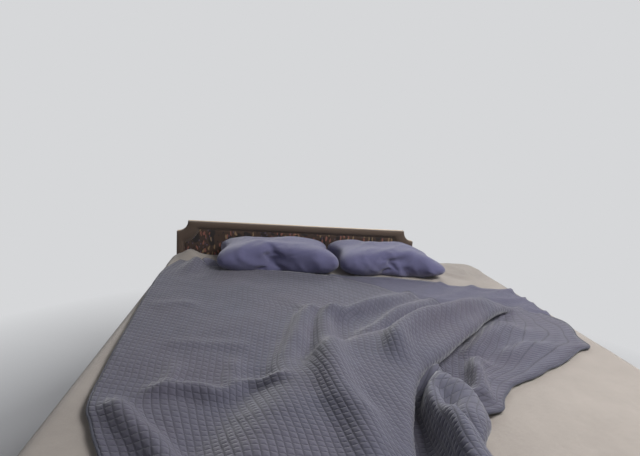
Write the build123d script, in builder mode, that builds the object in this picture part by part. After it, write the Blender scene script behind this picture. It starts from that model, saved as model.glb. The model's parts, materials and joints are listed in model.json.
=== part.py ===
"""Built-in bed of a motorhome's rear bedroom, with a low padded headboard and two drawers.

The frame: X across the bed, +Y towards the headboard, +Z up. The origin is on the floor, at the
centre of the four floor screws, under the middle of the mattress. All sizes are in millimetres.
"""
import os

from build123d import *

os.makedirs("parts", exist_ok=True)

# Mattress
mattress_width = 1524
mattress_length = 1905
mattress_thickness = 200
mattress_corner_radius = 60
mattress_edge_bevel = 16

# Base cabinet
side_recess = 62
foot_recess = 60
deck_height = 450
deck_thickness = 15
plinth_height = 80
plinth_recess = 50
panel_thickness = 15
bottom_board_thickness = 12

# Face frame at the foot, with one drawer opening each side of the mullion
post_size = 45
post_round = 28
frame_thickness = 20
top_rail_height = 45
bottom_rail_height = 35
mullion_width = 50
bulkhead_depth = 520
cleat_size = 30

# Deck edge
deck_clearance = 3
nosing_thickness = 20
nosing_drop = 24
nosing_rise = 14
vent_radius = 20
vent_pitch_x = 300
vent_pitch_y = 520
vent_columns = 2
vent_rows = 3
board_joint = 1

# Drawers
front_thickness = 19
front_overlay = 12
front_edge_round = 6
field_border = 34
field_groove_width = 7
field_groove_depth = 4
runner_gap = 13
drawer_depth = 480
drawer_wall = 12
drawer_height = 190
finger_count = 5
glue_gap = 0.1
drawer_floor_gap = 14
drawer_bottom_thickness = 6
drawer_bottom_rise = 10
runner_length = 440
runner_height = 45
runner_web = 1.5
runner_clearance = 0.4
slider_thickness = 9

# Bow handles
handle_pitch = 96
handle_reach = 28
handle_bar_width = 11
handle_bar_thickness = 6
handle_foot_radius = 8
handle_foot_height = 5
handle_neck_radius = 6.4

# Floor brackets
bracket_pitch_y = 1500
bracket_leg = 38
bracket_length = 60
bracket_sheet = 3
bracket_foot_reach = 22
floor_screw_radius = 3

# Headboard
headboard_width = 1190
headboard_offset = -158
headboard_rise = 157
headboard_below = 150
headboard_cove = 52
headboard_gap = 5
backing_thickness = 12
pad_thickness = 24
pad_round = 8
border_width = 34
insert_cove = 112
insert_thickness = 19
insert_bevel = 5
insert_joint = 1.5
strut_width = 45
strut_thickness = 20
strut_spacing = 800
strut_overlap = 220
wall_screw_radius = 2.5
wall_screw_low = 60
wall_screw_pitch = 380

# Bedding
sheet_gap = 0.3
sheet_thickness = 2
top_sheet_thickness = 2
top_sheet_left = -600
top_sheet_right = 727
top_sheet_from_head = 400
quilt_thickness = 16
quilt_foot_drop = 190
quilt_edge_bevel = 5
pillow_depth = 325
pillow_corner_radius = 85
pillow_edge_radius = 56
pillow_back_gap = 6

# Places that several pieces share
head_y = mattress_length / 2
foot_y = -mattress_length / 2
deck_top = deck_height + deck_thickness
mattress_top = deck_top + mattress_thickness
half_base = mattress_width / 2 - side_recess
headboard_front_y = head_y + headboard_gap
headboard_back_y = headboard_front_y + pad_thickness + backing_thickness
base_head_y = headboard_back_y
frame_front_y = foot_y + foot_recess
frame_back_y = frame_front_y + frame_thickness
bulkhead_y = frame_front_y + bulkhead_depth
bottom_board_top = plinth_height + bottom_board_thickness
panel_height = deck_height - bottom_board_top
opening_low_z = bottom_board_top + bottom_rail_height
opening_high_z = deck_height - top_rail_height
opening_inner_x = mullion_width / 2
opening_outer_x = half_base - post_size
opening_width = opening_outer_x - opening_inner_x
opening_centre_x = (opening_outer_x + opening_inner_x) / 2
opening_centre_z = (opening_low_z + opening_high_z) / 2
SIDES = {"left": -1, "right": 1}


def write(piece, name):
    """Labels a finished piece and writes it as its own STEP file."""
    piece.part.label = name
    export_step(piece.part, f"parts/{name}.step")


def board(name, x_span, y_span, z_span):
    """A plain rectangular board between two corners."""
    with BuildPart() as piece:
        with Locations((sum(x_span) / 2, sum(y_span) / 2, sum(z_span) / 2)):
            Box(x_span[1] - x_span[0], y_span[1] - y_span[0], z_span[1] - z_span[0])
    write(piece, name)
    return piece


def mirrored_board(name, x_span, y_span, z_span):
    """The same board on the left and on the right of the bed, each a node of its own."""
    for side_name, side in SIDES.items():
        board(f"{name}_{side_name}", sorted(side * x for x in x_span), y_span, z_span)


# Plinth: four boards set back from the cabinet above, so that toes fit under it
plinth_outer_x = half_base - plinth_recess
plinth_inner_x = plinth_outer_x - panel_thickness
plinth_foot_y = frame_front_y + plinth_recess
mirrored_board("plinth_side", (plinth_inner_x, plinth_outer_x), (plinth_foot_y, base_head_y), (0, plinth_height))
board("plinth_foot", (-plinth_inner_x, plinth_inner_x), (plinth_foot_y, plinth_foot_y + panel_thickness),
      (0, plinth_height))
board("plinth_head", (-plinth_inner_x, plinth_inner_x), (base_head_y - panel_thickness, base_head_y),
      (0, plinth_height))

# Floor brackets: steel angles in the toe recess, one screw each into the floor
for side_name, side in SIDES.items():
    with BuildPart() as brackets:
        for end in (-1, 1):
            with BuildSketch(Plane.XZ.offset(-end * bracket_pitch_y / 2)) as angle:
                with Locations((side * plinth_outer_x, 0)):
                    Rectangle(bracket_leg, bracket_sheet, align=(Align.MIN if side > 0 else Align.MAX, Align.MIN))
                    Rectangle(bracket_sheet, bracket_leg, align=(Align.MIN if side > 0 else Align.MAX, Align.MIN))
            extrude(amount=bracket_length / 2, both=True)
        with Locations(*[(side * (plinth_outer_x + bracket_foot_reach), end * bracket_pitch_y / 2, bracket_sheet)
                         for end in (-1, 1)]):
            Hole(floor_screw_radius, bracket_sheet)
    write(brackets, f"floor_brackets_{side_name}")

# Cabinet carcass
board("bottom_board", (-half_base, half_base), (frame_front_y, base_head_y), (plinth_height, bottom_board_top))
mirrored_board("side_panel", (half_base - panel_thickness, half_base),
               (frame_front_y + post_size, base_head_y), (bottom_board_top, deck_height))
inner_x = half_base - panel_thickness
board("head_panel", (-inner_x, inner_x), (base_head_y - panel_thickness, base_head_y),
      (bottom_board_top, deck_height))
half_panel = panel_thickness / 2
head_panel_front_y = base_head_y - panel_thickness
board("centre_divider", (-half_panel, half_panel), (frame_back_y, head_panel_front_y),
      (bottom_board_top, deck_height))
mirrored_board("bulkhead", (half_panel, inner_x), (bulkhead_y, bulkhead_y + panel_thickness),
               (bottom_board_top, deck_height))
mirrored_board("deck_cleat", (inner_x - cleat_size, inner_x), (bulkhead_y + panel_thickness, head_panel_front_y),
               (deck_height - cleat_size, deck_height))

# Corner posts at the foot, with the outer corner rounded
for side_name, side in SIDES.items():
    with BuildPart() as post:
        with BuildSketch(Plane.XY.offset(bottom_board_top)):
            with Locations((side * (half_base - post_size / 2), frame_front_y + post_size / 2)):
                Rectangle(post_size, post_size)
        extrude(amount=panel_height)
        outer_edge = post.edges().filter_by(Axis.Z).group_by(Axis.Y)[0].sort_by(Axis.X)[-1 if side > 0 else 0]
        fillet(outer_edge, post_round)
    write(post, f"corner_post_{side_name}")

# Face frame: rails and mullion between the posts
board("frame_top_rail", (-opening_outer_x, opening_outer_x), (frame_front_y, frame_back_y),
      (opening_high_z, deck_height))
board("frame_bottom_rail", (-opening_outer_x, opening_outer_x), (frame_front_y, frame_back_y),
      (bottom_board_top, opening_low_z))
board("frame_mullion", (-opening_inner_x, opening_inner_x), (frame_front_y, frame_back_y),
      (opening_low_z, opening_high_z))

# Deck: two plywood boards that meet over the centre divider, drilled so that the mattress can dry
deck_half_width = mattress_width / 2 + deck_clearance
deck_foot_y = foot_y - deck_clearance
deck_length = base_head_y - deck_foot_y
for side_name, side in SIDES.items():
    with BuildPart() as deck:
        with BuildSketch(Plane.XY.offset(deck_height)):
            with Locations((side * (deck_half_width + board_joint / 2) / 2, deck_foot_y + deck_length / 2)):
                Rectangle(deck_half_width - board_joint / 2, deck_length)
                with GridLocations(vent_pitch_x, vent_pitch_y, vent_columns, vent_rows):
                    Circle(vent_radius, mode=Mode.SUBTRACT)
        extrude(amount=deck_thickness)
        foot_corner = deck.edges().filter_by(Axis.Z).group_by(Axis.Y)[0].sort_by(Axis.X)[-1 if side > 0 else 0]
        fillet(foot_corner, mattress_corner_radius)
    write(deck, f"deck_{side_name}")

# Nosing: one cherry edging bent round the deck's two foot corners, standing up to hold the mattress
nosing_low_z = deck_height - nosing_drop
nosing_high_z = deck_top + nosing_rise
with BuildPart() as nosing:
    with BuildSketch(Plane.XY.offset(nosing_low_z)):
        for reach, mode in ((nosing_thickness, Mode.ADD), (0, Mode.SUBTRACT)):
            with BuildLine():
                x = deck_half_width + reach
                y = deck_foot_y - reach
                corner = mattress_corner_radius + reach
                FilletPolyline((-x, base_head_y), (-x, y), (x, y), (x, base_head_y), radius=corner)
                Line((x, base_head_y), (-x, base_head_y))
            make_face(mode=mode)
    extrude(amount=nosing_high_z - nosing_low_z)
    upright = nosing.faces().filter_by(GeomType.PLANE).sort_by(Axis.X)
    outer_long_edges = upright[0].edges().filter_by(Axis.Y) + upright[-1].edges().filter_by(Axis.Y)
    fillet(outer_long_edges, nosing_thickness * 0.3)
write(nosing, "deck_nosing")

# Drawer bearers: timber between the face frame and the bulkhead, which carry the runners
mirrored_board("outer_bearer", (opening_outer_x, inner_x), (frame_front_y + post_size, bulkhead_y),
               (opening_centre_z - runner_height / 2, opening_centre_z + runner_height / 2))
mirrored_board("inner_bearer", (half_panel, opening_inner_x), (frame_back_y, bulkhead_y),
               (opening_centre_z - runner_height / 2, opening_centre_z + runner_height / 2))

# Drawers
drawer_low_z = opening_low_z + drawer_floor_gap
drawer_outer_width = opening_width - 2 * runner_gap
runner_front_y = frame_front_y + post_size
channel_height = runner_height - 2 * runner_web
slider_height = channel_height - 2 * runner_clearance
for side_name, side in SIDES.items():
    centre_x = side * opening_centre_x
    wall_planes = ((opening_outer_x, -1), (opening_inner_x, 1))

    # Fixed runners: steel channels on the bearers, open towards the drawer
    with BuildPart() as runners:
        for wall_x, inward in wall_planes:
            with BuildSketch(Plane.XZ.offset(-runner_front_y)):
                with Locations((side * (wall_x + inward * (runner_gap - 1) / 2), opening_centre_z)):
                    Rectangle(runner_gap - 1, runner_height)
                with Locations((side * (wall_x + inward * (runner_web + (runner_gap - 1) / 2)), opening_centre_z)):
                    Rectangle(runner_gap - 1, channel_height, mode=Mode.SUBTRACT)
            extrude(amount=-runner_length)
    write(runners, f"drawer_runners_{side_name}")

    # Sliders: steel bars on the drawer's sides, which run inside the channels
    with BuildPart() as sliders:
        for wall_x, inward in wall_planes:
            face_x = wall_x + inward * runner_gap
            with Locations((side * (face_x - inward * slider_thickness / 2), runner_front_y + runner_length / 2,
                            opening_centre_z)):
                Box(slider_thickness, runner_length, slider_height)
    write(sliders, f"drawer_sliders_{side_name}")

    # Box: four walls whose corners lock together with fingers, a glue line apart
    finger_pitch = drawer_height / finger_count
    finger_height = finger_pitch / 2
    box_centre_y = frame_front_y + drawer_depth / 2
    box_centre_z = drawer_low_z + drawer_height / 2
    side_wall_x = (drawer_outer_width - drawer_wall) / 2
    end_wall_y = (drawer_depth - drawer_wall) / 2
    end_wall_length = drawer_outer_width - 2 * drawer_wall - 2 * glue_gap
    slots, fingers = ([(centre_x + across * (side_wall_x - inset), box_centre_y + along * end_wall_y,
                        drawer_low_z + (row + 0.5) * finger_pitch)
                       for across in (-1, 1) for along in (-1, 1) for row in range(finger_count)]
                      for inset in (0, glue_gap))
    with BuildPart() as box:
        with Locations(*[(centre_x + across * side_wall_x, box_centre_y, box_centre_z) for across in (-1, 1)]):
            Box(drawer_wall, drawer_depth, drawer_height)
        with Locations(*slots):
            Box(drawer_wall, drawer_wall + 2 * glue_gap, finger_height + 2 * glue_gap, mode=Mode.SUBTRACT)
        with Locations(*[(centre_x, box_centre_y + along * end_wall_y, box_centre_z) for along in (-1, 1)]):
            Box(end_wall_length, drawer_wall, drawer_height)
        with Locations(*fingers):
            Box(drawer_wall + 2 * glue_gap, drawer_wall, finger_height)
    write(box, f"drawer_box_{side_name}")

    with BuildPart() as drawer_bottom:
        with Locations((centre_x, box_centre_y, drawer_low_z + drawer_bottom_rise)):
            Box(drawer_outer_width - 2 * drawer_wall, drawer_depth - 2 * drawer_wall, drawer_bottom_thickness,
                align=(Align.CENTER, Align.CENTER, Align.MIN))
    write(drawer_bottom, f"drawer_bottom_{side_name}")

    # Front: a slab that laps over the opening, with a rounded rim and a routed groove round its field
    front_width = opening_width + 2 * front_overlay
    front_height = opening_high_z - opening_low_z + 2 * front_overlay
    front_plane = Plane.XZ.offset(-frame_front_y)
    front_face_y = frame_front_y - front_thickness
    with BuildPart() as front:
        with BuildSketch(front_plane):
            with Locations((centre_x, opening_centre_z)):
                Rectangle(front_width, front_height)
        extrude(amount=front_thickness)
        rim = front.faces().sort_by(Axis.Y)[0].edges()
        fillet(rim, front_edge_round)
        with BuildSketch(Plane.XZ.offset(-front_face_y)):
            with Locations((centre_x, opening_centre_z)):
                field_width = front_width - 2 * field_border
                field_height = front_height - 2 * field_border
                RectangleRounded(field_width, field_height, field_groove_width)
                RectangleRounded(field_width - 2 * field_groove_width, field_height - 2 * field_groove_width,
                                 field_groove_width / 2, mode=Mode.SUBTRACT)
        extrude(amount=-field_groove_depth, mode=Mode.SUBTRACT)
    write(front, f"drawer_front_{side_name}")

    # Handle: an arched bar on two flared feet
    with BuildPart() as handle:
        with Locations(*[(centre_x + end * handle_pitch / 2, front_face_y, opening_centre_z) for end in (-1, 1)]):
            Cone(handle_foot_radius, handle_neck_radius, handle_foot_height, rotation=(90, 0, 0),
                 align=(Align.CENTER, Align.CENTER, Align.MIN))
        bar_start_y = front_face_y - handle_foot_height / 2
        crown_y = front_face_y - handle_reach
        inner_half = handle_pitch / 2 - handle_bar_thickness / 2
        outer_half = handle_pitch / 2 + handle_bar_thickness / 2
        with BuildSketch(Plane.XY.offset(opening_centre_z)):
            with BuildLine():
                ThreePointArc((centre_x - outer_half, bar_start_y), (centre_x, crown_y - handle_bar_thickness / 2),
                              (centre_x + outer_half, bar_start_y))
                Line((centre_x + outer_half, bar_start_y), (centre_x + inner_half, bar_start_y))
                ThreePointArc((centre_x + inner_half, bar_start_y), (centre_x, crown_y + handle_bar_thickness / 2),
                              (centre_x - inner_half, bar_start_y))
                Line((centre_x - inner_half, bar_start_y), (centre_x - outer_half, bar_start_y))
            make_face()
        extrude(amount=handle_bar_width / 2, both=True)
    write(handle, f"drawer_handle_{side_name}")

# Headboard
headboard_low_z = mattress_top - headboard_below
headboard_height = headboard_below + headboard_rise


def headboard_outline(inset, cove):
    """The headboard's face: straight sides and top, with a cove of this radius scooped out of each top corner.

    Both coves are struck from the outer corner, so an inset outline with a larger cove follows the first.
    """
    half = headboard_width / 2
    side_x = half - inset
    top = headboard_height - inset
    reach = (cove ** 2 - inset ** 2) ** 0.5
    lean = cove / 2 ** 0.5
    with BuildLine() as outline:
        Polyline((-side_x, headboard_height - reach), (-side_x, inset), (side_x, inset),
                 (side_x, headboard_height - reach))
        ThreePointArc((side_x, headboard_height - reach), (half - lean, headboard_height - lean),
                      (half - reach, top))
        Line((half - reach, top), (reach - half, top))
        ThreePointArc((reach - half, top), (lean - half, headboard_height - lean),
                      (-side_x, headboard_height - reach))
    return outline.edges()


def headboard_plane(y):
    """A plane facing the bed at this Y, with its origin at the middle of the headboard's bottom edge."""
    return Plane(origin=(headboard_offset, y, headboard_low_z), x_dir=(1, 0, 0), z_dir=(0, -1, 0))


pad_back_y = headboard_front_y + pad_thickness
with BuildPart() as backing:
    with BuildSketch(headboard_plane(headboard_back_y)):
        make_face(headboard_outline(0, headboard_cove))
    extrude(amount=backing_thickness)
write(backing, "headboard_backing")

with BuildPart() as border:
    with BuildSketch(headboard_plane(pad_back_y)):
        make_face(headboard_outline(0, headboard_cove))
        make_face(headboard_outline(border_width, insert_cove), mode=Mode.SUBTRACT)
    extrude(amount=pad_thickness)
    front_rim = border.faces().sort_by(Axis.Y)[0].outer_wire().edges()
    fillet(front_rim, pad_round)
write(border, "headboard_border")

with BuildPart() as insert:
    with BuildSketch(headboard_plane(pad_back_y)):
        make_face(headboard_outline(border_width + insert_joint, insert_cove + insert_joint))
    extrude(amount=insert_thickness)
    chamfer(insert.faces().sort_by(Axis.Y)[0].edges(), insert_bevel)
write(insert, "headboard_insert")

# Struts: timber uprights behind the headboard, screwed to the head panel and to the wall
strut_low_z = deck_height - strut_overlap
strut_high_z = mattress_top + headboard_rise / 2
strut_back_y = headboard_back_y + strut_thickness
with BuildPart() as struts:
    for end in (-1, 1):
        with Locations((headboard_offset + end * strut_spacing / 2, headboard_back_y + strut_thickness / 2,
                        (strut_low_z + strut_high_z) / 2)):
            Box(strut_width, strut_thickness, strut_high_z - strut_low_z)
    for end in (-1, 1):
        with BuildSketch(Plane.XZ.offset(-strut_back_y)):
            with Locations(*[(headboard_offset + end * strut_spacing / 2, strut_low_z + wall_screw_low + rise)
                             for rise in (0, wall_screw_pitch)]):
                Circle(wall_screw_radius)
        extrude(amount=strut_thickness, mode=Mode.SUBTRACT)
write(struts, "headboard_struts")

# Mattress and bedding
with BuildPart() as mattress:
    with BuildSketch(Plane.XY.offset(deck_top)):
        RectangleRounded(mattress_width, mattress_length, mattress_corner_radius)
    extrude(amount=mattress_thickness)
    chamfer(mattress.faces().sort_by(Axis.Z)[-1].edges(), mattress_edge_bevel)
write(mattress, "mattress")

# Fitted sheet: a skin over the mattress's top and sides
sheet_top = mattress_top + sheet_gap + sheet_thickness
sheet_hem_z = nosing_high_z + sheet_gap
sheet_outset = sheet_gap + sheet_thickness
with BuildPart() as sheet_hollow:
    with BuildSketch(Plane.XY.offset(sheet_hem_z)):
        RectangleRounded(mattress_width + 2 * sheet_gap, mattress_length + 2 * sheet_gap,
                         mattress_corner_radius + sheet_gap)
    extrude(amount=sheet_top - sheet_thickness - sheet_hem_z)
    chamfer(sheet_hollow.faces().sort_by(Axis.Z)[-1].edges(), mattress_edge_bevel)
with BuildPart() as fitted_sheet:
    with BuildSketch(Plane.XY.offset(sheet_hem_z)):
        RectangleRounded(mattress_width + 2 * sheet_outset, mattress_length + 2 * sheet_outset,
                         mattress_corner_radius + sheet_outset)
    extrude(amount=sheet_top - sheet_hem_z)
    chamfer(fitted_sheet.faces().sort_by(Axis.Z)[-1].edges(), mattress_edge_bevel + sheet_thickness / 2)
    add(sheet_hollow.part, mode=Mode.SUBTRACT)
write(fitted_sheet, "fitted_sheet")

# Top sheet: blue, flat on the fitted sheet, from below the pillows to the foot
bedding_z = sheet_top + sheet_gap
top_sheet_head_y = head_y - top_sheet_from_head
with BuildPart() as top_sheet:
    with BuildSketch(Plane.XY.offset(bedding_z)):
        with Locations(((top_sheet_left + top_sheet_right) / 2, (top_sheet_head_y + foot_y) / 2)):
            Rectangle(top_sheet_right - top_sheet_left, top_sheet_head_y - foot_y - 2 * mattress_corner_radius)
    extrude(amount=top_sheet_thickness)
write(top_sheet, "top_sheet")

# Quilt: pulled to the left, with its head hem in a wave below the pillows and its right edge drawn in
quilt_z = bedding_z + top_sheet_thickness + sheet_gap
quilt_top = quilt_z + quilt_thickness
quilt_drop_outer_y = deck_foot_y - nosing_thickness - 1 - quilt_thickness
quilt_bend = head_y - quilt_drop_outer_y
quilt_drop_length = quilt_top - mattress_top + quilt_foot_drop
# (x, distance from the mattress's head end)
quilt_outline = [(-700, 170), (-610, 225), (-560, 338), (-10, 345), (165, 496), (290, 645), (425, 774), (640, 655),
                 (715, 740), (715, 860), (640, 980), (360, 1150), (245, 1245), (150, 1450)]
quilt_left_edge = [(-570, 1620), (-600, 1420), (-683, 1250), (-709, 971), (-738, 409)]
quilt_foot_x = (-580, 150)
# Folds pushed up in the quilt: (x, distance from the head, height, half width) along each crest
quilt_folds = {
    "high": [(-150, 840, 14, 36), (-3, 734, 36, 46), (110, 652, 34, 48), (205, 590, 18, 36)],
    "middle": [(-95, 965, 14, 36), (48, 868, 38, 48), (160, 755, 34, 50), (285, 655, 18, 38)],
    "low": [(-20, 1190, 36, 44), (35, 1054, 80, 58), (165, 930, 78, 58), (300, 838, 64, 56), (430, 750, 26, 38)],
    "long": [(-115, 765, 10, 34), (-152, 960, 28, 56), (-175, 1236, 64, 74), (-158, 1500, 58, 80),
             (-160, quilt_bend - 45, 20, 70)],
    "left": [(-165, 750, 12, 36), (-215, 880, 28, 46), (-267, 1086, 24, 52), (-298, 1280, 10, 44)],
    "step": [(-585, 1212, 8, 26), (-430, 1236, 18, 30), (-260, 1222, 8, 26)],
    "slanting": [(-632, 1268, 12, 28), (-545, 1368, 26, 36), (-445, 1550, 12, 36)],
    "flap": [(38, 1190, 24, 40), (5, 1360, 28, 44), (-22, 1560, 16, 44)],
    "right": [(230, 1040, 16, 50), (355, 945, 34, 62), (490, 845, 16, 50)],
    "peak": [(285, 1060, 16, 30), (212, 1165, 40, 34), (172, 1290, 18, 28)],
    "back": [(500, 985, 14, 34), (390, 1040, 24, 38), (310, 1100, 14, 30)],
    "corner": [(-640, 235, 12, 24), (-650, 330, 22, 50), (-668, 450, 8, 40)],
}
# Overlaps, where the quilt lies on itself: (x, distance from the head, width, height) along each overlap's edge
quilt_overlaps = {
    "long": [(470, 785, 90, 20), (281, 955, 165, 36), (110, 1112, 235, 38), (-45, 1340, 285, 38), (-110, 1600, 300, 34),
             (-120, quilt_bend, 290, 22), (-120, quilt_bend + quilt_drop_length, 280, 20)],
    "short": [(62, 1135, 45, 12), (112, 1245, 80, 26), (108, 1410, 95, 26), (88, 1650, 100, 22),
              (85, quilt_bend, 100, 16), (85, quilt_bend + quilt_drop_length, 100, 14)],
}
fold_root = 8


def quilt_sections(crest, profile):
    """Closed outlines square to a crest on the quilt's outer side; profile draws one from its two sizes."""
    outlines = []
    for index, (x, down, *sizes) in enumerate(crest):
        before, after = crest[max(index - 1, 0)], crest[min(index + 1, len(crest) - 1)]
        if down < quilt_bend:
            place, outward = Vector(x, head_y - down, quilt_top), Vector(0, 0, 1)
            onward = Vector(after[0] - before[0], before[1] - after[1], 0)
        elif down == quilt_bend:
            place, outward, onward = Vector(x, quilt_drop_outer_y, quilt_top), Vector(0, -1, 1), Vector(0, -1, -1)
        else:
            place = Vector(x, quilt_drop_outer_y, quilt_top + quilt_bend - down)
            outward, onward = Vector(0, -1, 0), Vector(0, 0, -1)
        across = outward.cross(onward)
        with BuildSketch(Plane(origin=place, x_dir=across, z_dir=onward)) as outline:
            with BuildLine():
                profile(*sizes)
            make_face()
        outlines.append(outline.sketch.faces()[0])
    return outlines


def fold_profile(height, half_width):
    """A hump with a round back, over its root."""
    Polyline((-half_width, -fold_root), (-0.55 * half_width, 0.7 * height), (0, height),
             (0.55 * half_width, 0.7 * height), (half_width, -fold_root), close=True)


def overlap_profile(width, height):
    """A slow rise from the left to a blunt edge on the right."""
    Polyline((-width, -fold_root), (-0.6 * width, 0.8 * height), (-0.08 * width, height), (0, 0.6 * height),
             (0, -fold_root), close=True)


with BuildPart() as quilt:
    with BuildSketch(Plane.XY.offset(quilt_z)):
        with BuildLine():
            points = [(x, head_y - down) for x, down in quilt_outline]
            points += [(quilt_foot_x[1], quilt_drop_outer_y), (quilt_foot_x[0], quilt_drop_outer_y)]
            points += [(x, head_y - down) for x, down in quilt_left_edge]
            Polyline(*points, close=True)
        make_face()
    extrude(amount=quilt_thickness)
    with BuildSketch(Plane.XY.offset(mattress_top - quilt_foot_drop)):
        with Locations((sum(quilt_foot_x) / 2, quilt_drop_outer_y)):
            Rectangle(quilt_foot_x[1] - quilt_foot_x[0], quilt_thickness, align=(Align.CENTER, Align.MIN))
    extrude(amount=quilt_z - mattress_top + quilt_foot_drop)
    rim = quilt.faces().sort_by(Axis.Z)[-1].edges()
    chamfer(rim, quilt_edge_bevel)
    for crest in quilt_overlaps.values():
        loft(quilt_sections(crest, overlap_profile), ruled=True)
    for crest in quilt_folds.values():
        loft(quilt_sections(crest, fold_profile), ruled=True)
write(quilt, "quilt")

# Pillows: side by side against the headboard, each the block that its plan, its side and its front have in common
pillow_table = {"left": (-535, -14, 128), "right": (-8, 490, 122)}  # low x, high x, thickness
pillow_y = head_y - pillow_back_gap - pillow_depth / 2
for pillow_name, (low_x, high_x, thickness) in pillow_table.items():
    middle_x = (low_x + high_x) / 2
    middle_z = bedding_z + thickness / 2
    with BuildPart() as pillow:
        with BuildSketch(Plane.XY.offset(bedding_z)):
            with Locations((middle_x, pillow_y)):
                RectangleRounded(high_x - low_x, pillow_depth, pillow_corner_radius)
        extrude(amount=thickness)
        with BuildSketch(Plane.YZ.offset(low_x)):
            with Locations((pillow_y, middle_z)):
                RectangleRounded(pillow_depth, thickness, pillow_edge_radius)
        extrude(amount=high_x - low_x, mode=Mode.INTERSECT)
        with BuildSketch(Plane.XZ.offset(-pillow_y)):
            with Locations((middle_x, middle_z)):
                RectangleRounded(high_x - low_x, thickness, pillow_edge_radius)
        extrude(amount=pillow_depth / 2, both=True, mode=Mode.INTERSECT)
    write(pillow, f"pillow_{pillow_name}")
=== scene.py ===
# %% [markdown]
# # A motorhome's built-in bed
# The bed is a cherry-edged plywood box with two drawers at its foot, a mattress in a fitted sheet, a blue flat
# sheet, two pillows, a quilted coverlet thrown back in folds, and a low padded headboard. The hard pieces come
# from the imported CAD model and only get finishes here. The soft pieces are built here, one after the other, each
# in place of its plain CAD solid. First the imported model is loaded: its objects are in metres and already stand
# where they belong, so nothing has to be fitted by eye.

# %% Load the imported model
import json
import math

import bmesh
import bpy
import numpy as np
from mathutils import Matrix, Vector, noise


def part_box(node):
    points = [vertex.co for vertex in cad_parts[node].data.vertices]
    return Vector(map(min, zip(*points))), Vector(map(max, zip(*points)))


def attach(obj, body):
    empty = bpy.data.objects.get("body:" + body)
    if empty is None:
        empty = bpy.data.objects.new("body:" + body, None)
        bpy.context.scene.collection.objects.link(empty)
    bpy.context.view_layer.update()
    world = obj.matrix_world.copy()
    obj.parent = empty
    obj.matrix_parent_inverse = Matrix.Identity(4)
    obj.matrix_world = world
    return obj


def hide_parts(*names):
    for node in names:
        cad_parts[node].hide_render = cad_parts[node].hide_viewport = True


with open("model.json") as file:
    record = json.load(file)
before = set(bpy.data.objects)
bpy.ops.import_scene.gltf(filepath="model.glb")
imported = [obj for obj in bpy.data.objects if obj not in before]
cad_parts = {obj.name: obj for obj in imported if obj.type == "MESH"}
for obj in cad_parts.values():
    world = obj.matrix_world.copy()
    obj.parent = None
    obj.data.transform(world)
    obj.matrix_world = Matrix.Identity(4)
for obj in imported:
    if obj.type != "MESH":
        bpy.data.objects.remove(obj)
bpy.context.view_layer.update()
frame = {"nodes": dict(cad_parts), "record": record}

slot_of = {row["node"]: row["material_slot"] for row in frame["record"]["subparts"]}

# %% [markdown]
# ## Places to work from
# Every soft piece rests on something. Reading the CAD boxes once, and giving the places names, keeps the cloth
# honest: the mattress carries the sheets, and the sheets carry the quilt. Distances "from the head" run from the
# mattress's head end towards the foot, because that is how bedding is measured.

# %% Levels and edges
mattress_low, mattress_high = (Vector(corner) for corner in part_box("mattress"))
fitted_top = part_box("fitted_sheet")[1][2]
flat_sheet_low, flat_sheet_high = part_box("top_sheet")
bed_top = flat_sheet_high[2]                 # the level the quilt lies on
head_y = mattress_high.y
foot_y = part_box("deck_nosing")[0][1]         # the quilt hangs just outside the nosing
print(f"mattress top {mattress_high.z:.4f}, fitted sheet {fitted_top:.4f}, quilt lies on {bed_top:.4f}")

# %% [markdown]
# ## The camera
# The picture was taken standing at the foot, a little to the left, and looking slightly down, with a wide lens and
# the camera held a few degrees out of level. The camera's matrix is written out from its yaw, pitch and roll, so
# that each of the three can be read and changed by itself.

# %% Camera
yaw, pitch, roll = (math.radians(v) for v in (7.922, -10.980, 4.268))
camera_place = Vector((-0.350, -1.1492, 1.2334))
forward = Vector((math.sin(yaw) * math.cos(pitch), math.cos(yaw) * math.cos(pitch), math.sin(pitch)))
level_right = Vector((math.cos(yaw), -math.sin(yaw), 0))
level_up = level_right.cross(forward)
camera_right = level_right * math.cos(roll) + level_up * math.sin(roll)
camera_up = level_up * math.cos(roll) - level_right * math.sin(roll)
camera = bpy.data.objects.new("camera", bpy.data.cameras.new("camera"))
bpy.context.scene.collection.objects.link(camera)
axes = zip(camera_right, camera_up, -forward, camera_place)
camera.matrix_world = Matrix([*axes, (0, 0, 0, 1)])
camera.data.lens = 24.304
camera.data.clip_start = 0.01
bpy.context.scene.camera = camera
print("camera looks along", [round(v, 3) for v in forward])

# %% [markdown]
# ## Light and floor
# A plain studio: a soft lamp overhead, to the right, draws the folds. A large one behind the bed stands for the
# window over the headboard, a weak one for the doorway behind the camera, and the world fills the shadows. Their
# level is set so that a colour renders about as it is written. What the camera sees of the world is a plain pale
# wall, which Light Path tells apart from the light that falls on the bed, and the floor turns into that same wall
# away from the bed, so that no horizon shows. The floor keeps the bed's shadow and isn't part of the bed.

# %% Lamps and floor
# name, place, point that it is turned to, size, power
LAMPS = (("window_lamp", (0.9, 3.4, 2.4), (0.0, 0.0, 0.6), 2.0, 62),
         ("door_lamp", (-1.6, -3.2, 2.3), (0.0, 0.0, 0.5), 1.8, 12),
         ("ceiling_lamp", (1.1, -0.4, 2.4), (0.0, -0.3, 0.6), 1.0, 44))
for name, place, aim, size, power in LAMPS:
    light = bpy.data.lights.new(name, "AREA")
    light.size, light.energy = size, power
    lamp = bpy.data.objects.new(name, light)
    lamp.location = place
    lamp.rotation_euler = (Vector(aim) - Vector(place)).to_track_quat("-Z", "Y").to_euler()
    bpy.context.scene.collection.objects.link(lamp)
bpy.context.scene.view_settings.view_transform = "Standard"


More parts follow.
